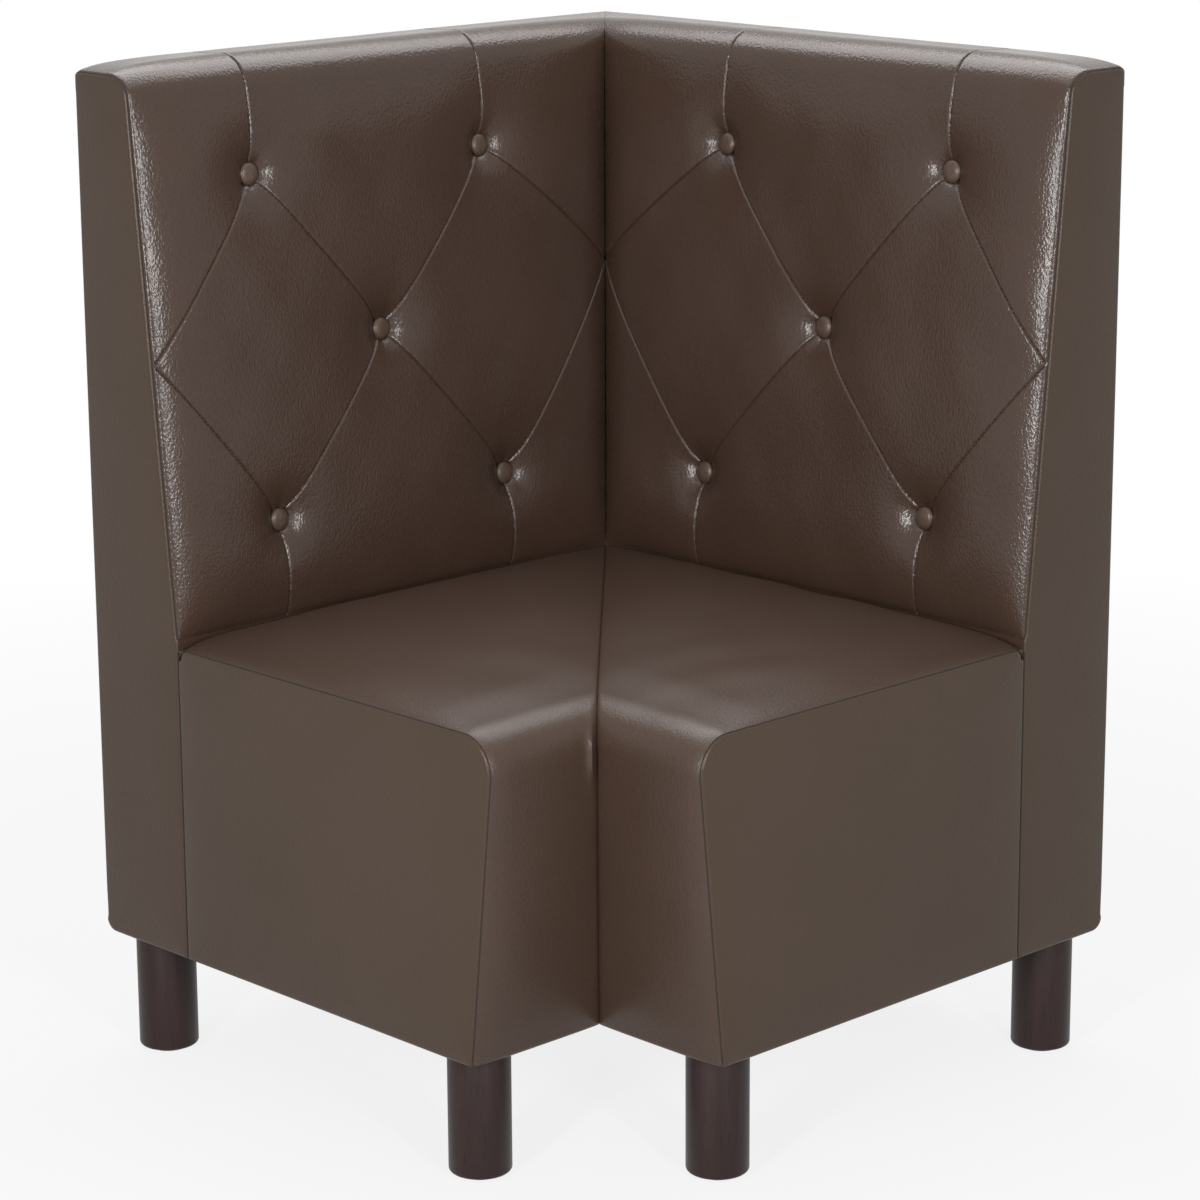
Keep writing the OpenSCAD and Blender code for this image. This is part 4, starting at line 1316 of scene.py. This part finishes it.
# Seat covers
# One padded leather cover on each arm runs from the back over the seat's rounded front edge and down to
# the bottom, where it turns under. The two are sewn together on the mitre, down to the notch, and the
# left one stands up a little beside that seam.
seat_roll = 0.038
seat_crown = 0.011
end_drop = 0.005
seat_end_height = seat_height - end_drop
hem_radius = 0.0035
hem_run = 0.008
hem_fold = 0.006
hem_thickness = 0.001
seat_cover_depth = 0.006
seat_seam_inset = 0.0044
seat_seam_width = 0.0095
rear_corner = 0.013
seat_soft_shift = 0.014
seat_soft_reach = 0.080
seat_softness = 0.0100
end_fall = 0.050
mitre_fall = 0.045
mitre_share = 0.25
level_share = 0.42
padded_run = (0.004, 0.05)
sewn_run = (0.006, 0.014)
uneven_run = (0.01, 0.04)
rear_fall = 0.02
end_drop_reach = 0.045
mitre_groove = 0.0013
mitre_groove_width = 0.0009
mitre_hollow = 0.0012
mitre_hollow_width = 0.010
rear_dip = 0.0035
rear_dip_width = 0.006
rear_dip_start = 0.012
corner_dip_reach = 0.016
mitre_fullness = 0.0038
fullness_place = 0.0045
fullness_width = 0.0025
fullness_run = 0.006
fullness_reach = 0.026
mitre_lean_reach = 0.02
seat_wave = 0.13
seat_unevenness = 0.0005
seat_seed = 91
seat_rows = [0.0007, 0.0015, 0.0026, 0.0042, 0.0064, 0.0095]
seat_spacing = 0.0065
seat_rim_gap = 0.0005
seat_field_gap = 0.0125
hem_field_gap = 0.019
seat_point_gap = 0.00045
roll_turn = math.radians(90.0 + rake_tilt)


def raked_centre(radius, height):
    """Centre of a round edge of the seat's raked front."""
    return float(front_depth(height)) - radius / math.cos(math.radians(rake_tilt)), height


hem_centre = raked_centre(hem_radius, leg_height + hem_radius)
seat_roll_centre = raked_centre(seat_roll, seat_height - seat_roll)
seat_path = path_of(
    (hem_centre[0] - hem_run, leg_height, -90.0),
    arc(hem_centre, hem_radius, -90.0, -rake_tilt, 8),
    arc(seat_roll_centre, seat_roll, -rake_tilt, 90.0, 20),
    (seat_rear, seat_height, 90.0),
)
seat_length = seat_path[0][-1]
seat_front_run = hem_run + hem_radius * math.radians(90.0 - rake_tilt)
seat_middle = (seat_rear + seat_roll_centre[0]) / 2 - 0.01
seat_reach = seat_roll_centre[0] + 0.5 * seat_roll - seat_middle
seat_roll_run = seat_length - (seat_roll_centre[0] - seat_rear) - seat_roll * roll_turn
seat_soft_middle = seat_roll_run + 0.5 * seat_roll * roll_turn + seat_soft_shift


def seat_form(seed, allowance):
    """Where the padded seat cover lies, for a distance along the arm and a running length."""
    def form(along, run):
        depth, height, out, up = on_path(seat_path, run)
        from_end = np.maximum(0.0, along - open_end)
        from_mitre = np.maximum(0.0, mitre_at(seat_path, run) - along) / math.sqrt(2)
        from_rear = np.maximum(0.0, seat_length - run)
        top_share = np.clip(up, 0.0, 1.0)
        front_share = soft_step(run, seat_front_run, seat_roll_run)
        seam_share = soft_step(run, *sewn_run)
        by_mitre = mitre_share + (1.0 - mitre_share) * (1.0 - np.exp(-from_mitre / mitre_fall))
        plump = (1.0 - np.exp(-from_end / end_fall)) * by_mitre
        arch = 1.0 - np.clip((depth - seat_middle) / seat_reach, -1.0, 1.0) ** 2
        high = seat_crown * plump * (level_share + (1.0 - level_share) * arch * top_share)
        high = high * (1.0 - np.exp(-from_rear / rear_fall)) * soft_step(run, *padded_run)
        from_roll = np.clip(np.abs(run - seat_soft_middle) / seat_soft_reach, 0.0, 1.0)
        high = high - seat_softness * plump * 0.5 * (1.0 + np.cos(math.pi * from_roll))
        uneven = seat_unevenness * ripple(along, run, seat_wave, seed)
        high = high + uneven * plump * soft_step(run, *uneven_run)
        drop = end_drop * np.exp(-from_end / end_drop_reach) * front_share
        seam_dip = seat_seam_inset * np.exp(-from_end / seat_seam_width) * seam_share
        mitre_dip = mitre_groove * np.exp(-from_mitre / mitre_groove_width)
        mitre_dip = mitre_dip + mitre_hollow * np.exp(-from_mitre / mitre_hollow_width)
        tucked = rear_dip * np.exp(-from_rear / rear_dip_width) * np.clip(from_end / rear_dip_start, 0.0, 1.0)
        corner = np.clip(rear_corner - from_rear, 0.0, rear_corner)
        corner_dip = rear_corner - np.sqrt(rear_corner ** 2 - corner ** 2)
        corner_dip = corner_dip * np.exp(-from_end / corner_dip_reach)
        high = high - seam_dip - mitre_dip * seam_share - tucked
        upper_front = np.exp(-((run - seat_roll_run + fullness_run) / fullness_reach) ** 2)
        ridge = np.exp(-((from_mitre - fullness_place) / fullness_width) ** 2)
        high = high + allowance * upper_front * ridge
        to_mitre = -high * out * np.exp(-from_mitre / mitre_lean_reach)
        return depth + high * out, along + to_mitre, height + high * up - drop - corner_dip
    return form


def seat_lining(along, run):
    thick = np.where(run < hem_fold, hem_thickness, seat_cover_depth)
    depth, along, height = off_path(seat_path, along, run, -thick)
    return depth, along, height - end_drop * 0.9 * soft_step(run, seat_front_run, seat_roll_run)


# The seat's leather is the same leather, its tones set between those of the backs and the end panels as
# painted light and shade.
seat_leather = leather_finish(
    "brown_seat_leather", (0.0530, 0.0312, 0.0215), (0.0393, 0.0230, 0.0157), 0.35, 0.42
)
seat_border = mitred_border(seat_path, border_marks, border_step)
rim = thinned(beside(seat_border, seat_rows, closed=True), seat_border, seat_rim_gap)
hem_runs = hem_run + np.linspace(-0.002, 0.0085, 8)
hem_points = np.array([(x, y) for x in np.arange(0.006, side, 0.005) for y in hem_runs])
hem_points = thinned(hem_points, seat_border, 0.0008)
field = thinned(even_points(seat_border, seat_spacing), seat_border, seat_field_gap)
field = field[field[:, 1] > hem_field_gap]
seat_points = apart(np.concatenate([rim, hem_points, field]), seat_point_gap)
for number, arm in enumerate(arms):
    form = seat_form(seat_seed + number, mitre_fullness if arm == "left" else 0.0)
    cover = skin(arm + "_seat_top_cover", arm, seat_border, seat_points, form, seat_lining, seat_leather)
    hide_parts(arm + "_seat_cover")

# End panels of the seat
# A plain leather panel over thin foam on each open end of the seat box, sewn to the seat cover over the
# top and down the front, and turned round the board at the back and the bottom. Near-black cords of
# painted shade lie in that seam and in the shadowed joint between this panel and that of the back.
# Size, count and place of the thin cord of painted shade in the joint between the end panels.
gap_shade_radius = 0.0008
gap_shade_points = 60
gap_shade_place = 0.0011
seat_cord_points = 260
seat_panel_slack = 1.6
seat_panel_seed = 111
seat_end_corner = (seat_rear + rear_corner, seat_end_height - rear_corner)
seat_end_front = float(front_depth(leg_height))
seat_end_path = path_of(
    (seat_end_front, leg_height, -rake_tilt),
    arc(raked_centre(seat_roll, seat_end_height - seat_roll), seat_roll, -rake_tilt, 90.0, 20),
    (seat_end_corner[0], seat_end_height, 90.0),
)
seat_end_length = seat_end_path[0][-1]
seat_end_border = np.concatenate([
    outline_of([[(seat_rear, leg_height), (seat_end_front - seat_seam_inset, leg_height)]], panel_step),
    inset_path(seat_end_path, seat_seam_inset),
    arc(seat_end_corner, rear_corner - seat_seam_inset, 90.0, 180.0, 7)[1:, :2],
    outline_of([[(seat_rear, seat_end_corner[1] - 0.002), (seat_rear, leg_height)]], panel_step),
])


def seat_end_turned(depth, height):
    at_rear = (1.0 - soft_step(depth, seat_rear + 0.006, seat_rear + 0.02)) * (
        1.0 - soft_step(height, seat_end_height - 0.03, seat_end_height - 0.006)
    )
    at_bottom = 1.0 - soft_step(height, leg_height + 0.006, leg_height + 0.016)
    return np.maximum(at_rear, at_bottom)


for number, arm in enumerate(arms):
    marks = np.linspace(0.004, seat_end_length - 0.002, seat_cord_points)
    centres, outs = inset_points(seat_end_path, seat_seam_inset - cord_rise, marks)
    # A near-black cord of painted shade lies in the seat's end seam.
    shade_cord(arm + "_seat_seam_painted_shade", arm, centres, outs, open_end - cord_rise, cord_radius)
    # A thin cord of painted shade fills the joint between the seat's and the back's end panels, a shadowed
    # gap.
    heights = np.linspace(leg_height + 0.004, seat_end_corner[1] + 0.005, gap_shade_points)
    centres = np.stack([np.full(gap_shade_points, (back_base + seat_rear) / 2), heights], axis=1)
    shade_cord(arm + "_joint_painted_shade", arm, centres, [(1.0, 0.0)] * gap_shade_points, gap_shade_place, gap_shade_radius)
    panel = end_panel(
        arm + "_seat_end_panel", arm, seat_end_border, seat_end_turned, seat_panel_seed + number,
        seat_panel_slack,
    )
    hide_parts(arm + "_seat_end_cover")

# Dust cover
# Black woven cloth in two mitred pieces, stapled to the underside of the frame so that no dust falls out.
# It is stretched between the outer rails and hangs slack by less than a millimetre.
cloth_end = 0.004
cloth_front = float(front_depth(leg_height)) - 0.020
cloth_rear = wrap_radius + 0.004
cloth_gap = 0.0005
cloth_thickness = 0.0009
cloth_lift = 0.0002
cloth_slack = 0.0008
cloth_unevenness = 0.0004
cloth_wave = 0.15
cloth_seed = 5
cloth_fade = 0.04
cloth_step = 0.02
cloth_spacing = 0.022
cloth = pattern_finish(
    "black_dust_cloth", "ShaderNodeTexBrick", {"Scale": 420.0, "Mortar Size": 0.03}, "Fac",
    ((0.022, 0.022, 0.023, 1.0), (0.008, 0.008, 0.008, 1.0)), (0.4, 0.0003),
    {"Roughness": 0.9, "Sheen Weight": 0.15},
)
border = four_sided([
    (cloth_rear, cloth_end), (cloth_front, cloth_end),
    (cloth_front, side - cloth_front - cloth_gap), (cloth_rear, side - cloth_rear - cloth_gap),
], cloth_step)
flat, faces = filled(border, even_points(border, cloth_spacing))
inner = np.clip(line_reach(flat, looped(border))[0] / cloth_fade, 0.0, 1.0)
uneven = cloth_unevenness * ripple(flat[:, 0], flat[:, 1], cloth_wave, cloth_seed)
lift = leg_height - cloth_lift + uneven * inner
lift = np.maximum(lift, leg_height - cloth_slack)
cloth_points = []
cloth_faces = []
for arm in arms:
    start = len(cloth_points)
    shift = start + len(flat)
    for sheet_lift in (lift, lift + cloth_thickness):
        cloth_points += arm_place(arm, flat[:, 0], flat[:, 1], sheet_lift).tolist()
    arm_cloth = [tuple(start + i for i in face)[::-1] for face in faces]
    arm_cloth += [tuple(shift + i for i in face) for face in faces]
    for i in range(len(border)):
        j = (i + 1) % len(border)
        arm_cloth.append((start + i, start + j, shift + j, shift + i))
    cloth_faces += arm_faces(arm, arm_cloth)
dust = ride_root(mesh_piece("dust_cloth", cloth_points, cloth_faces, cloth))
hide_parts("dust_cover")
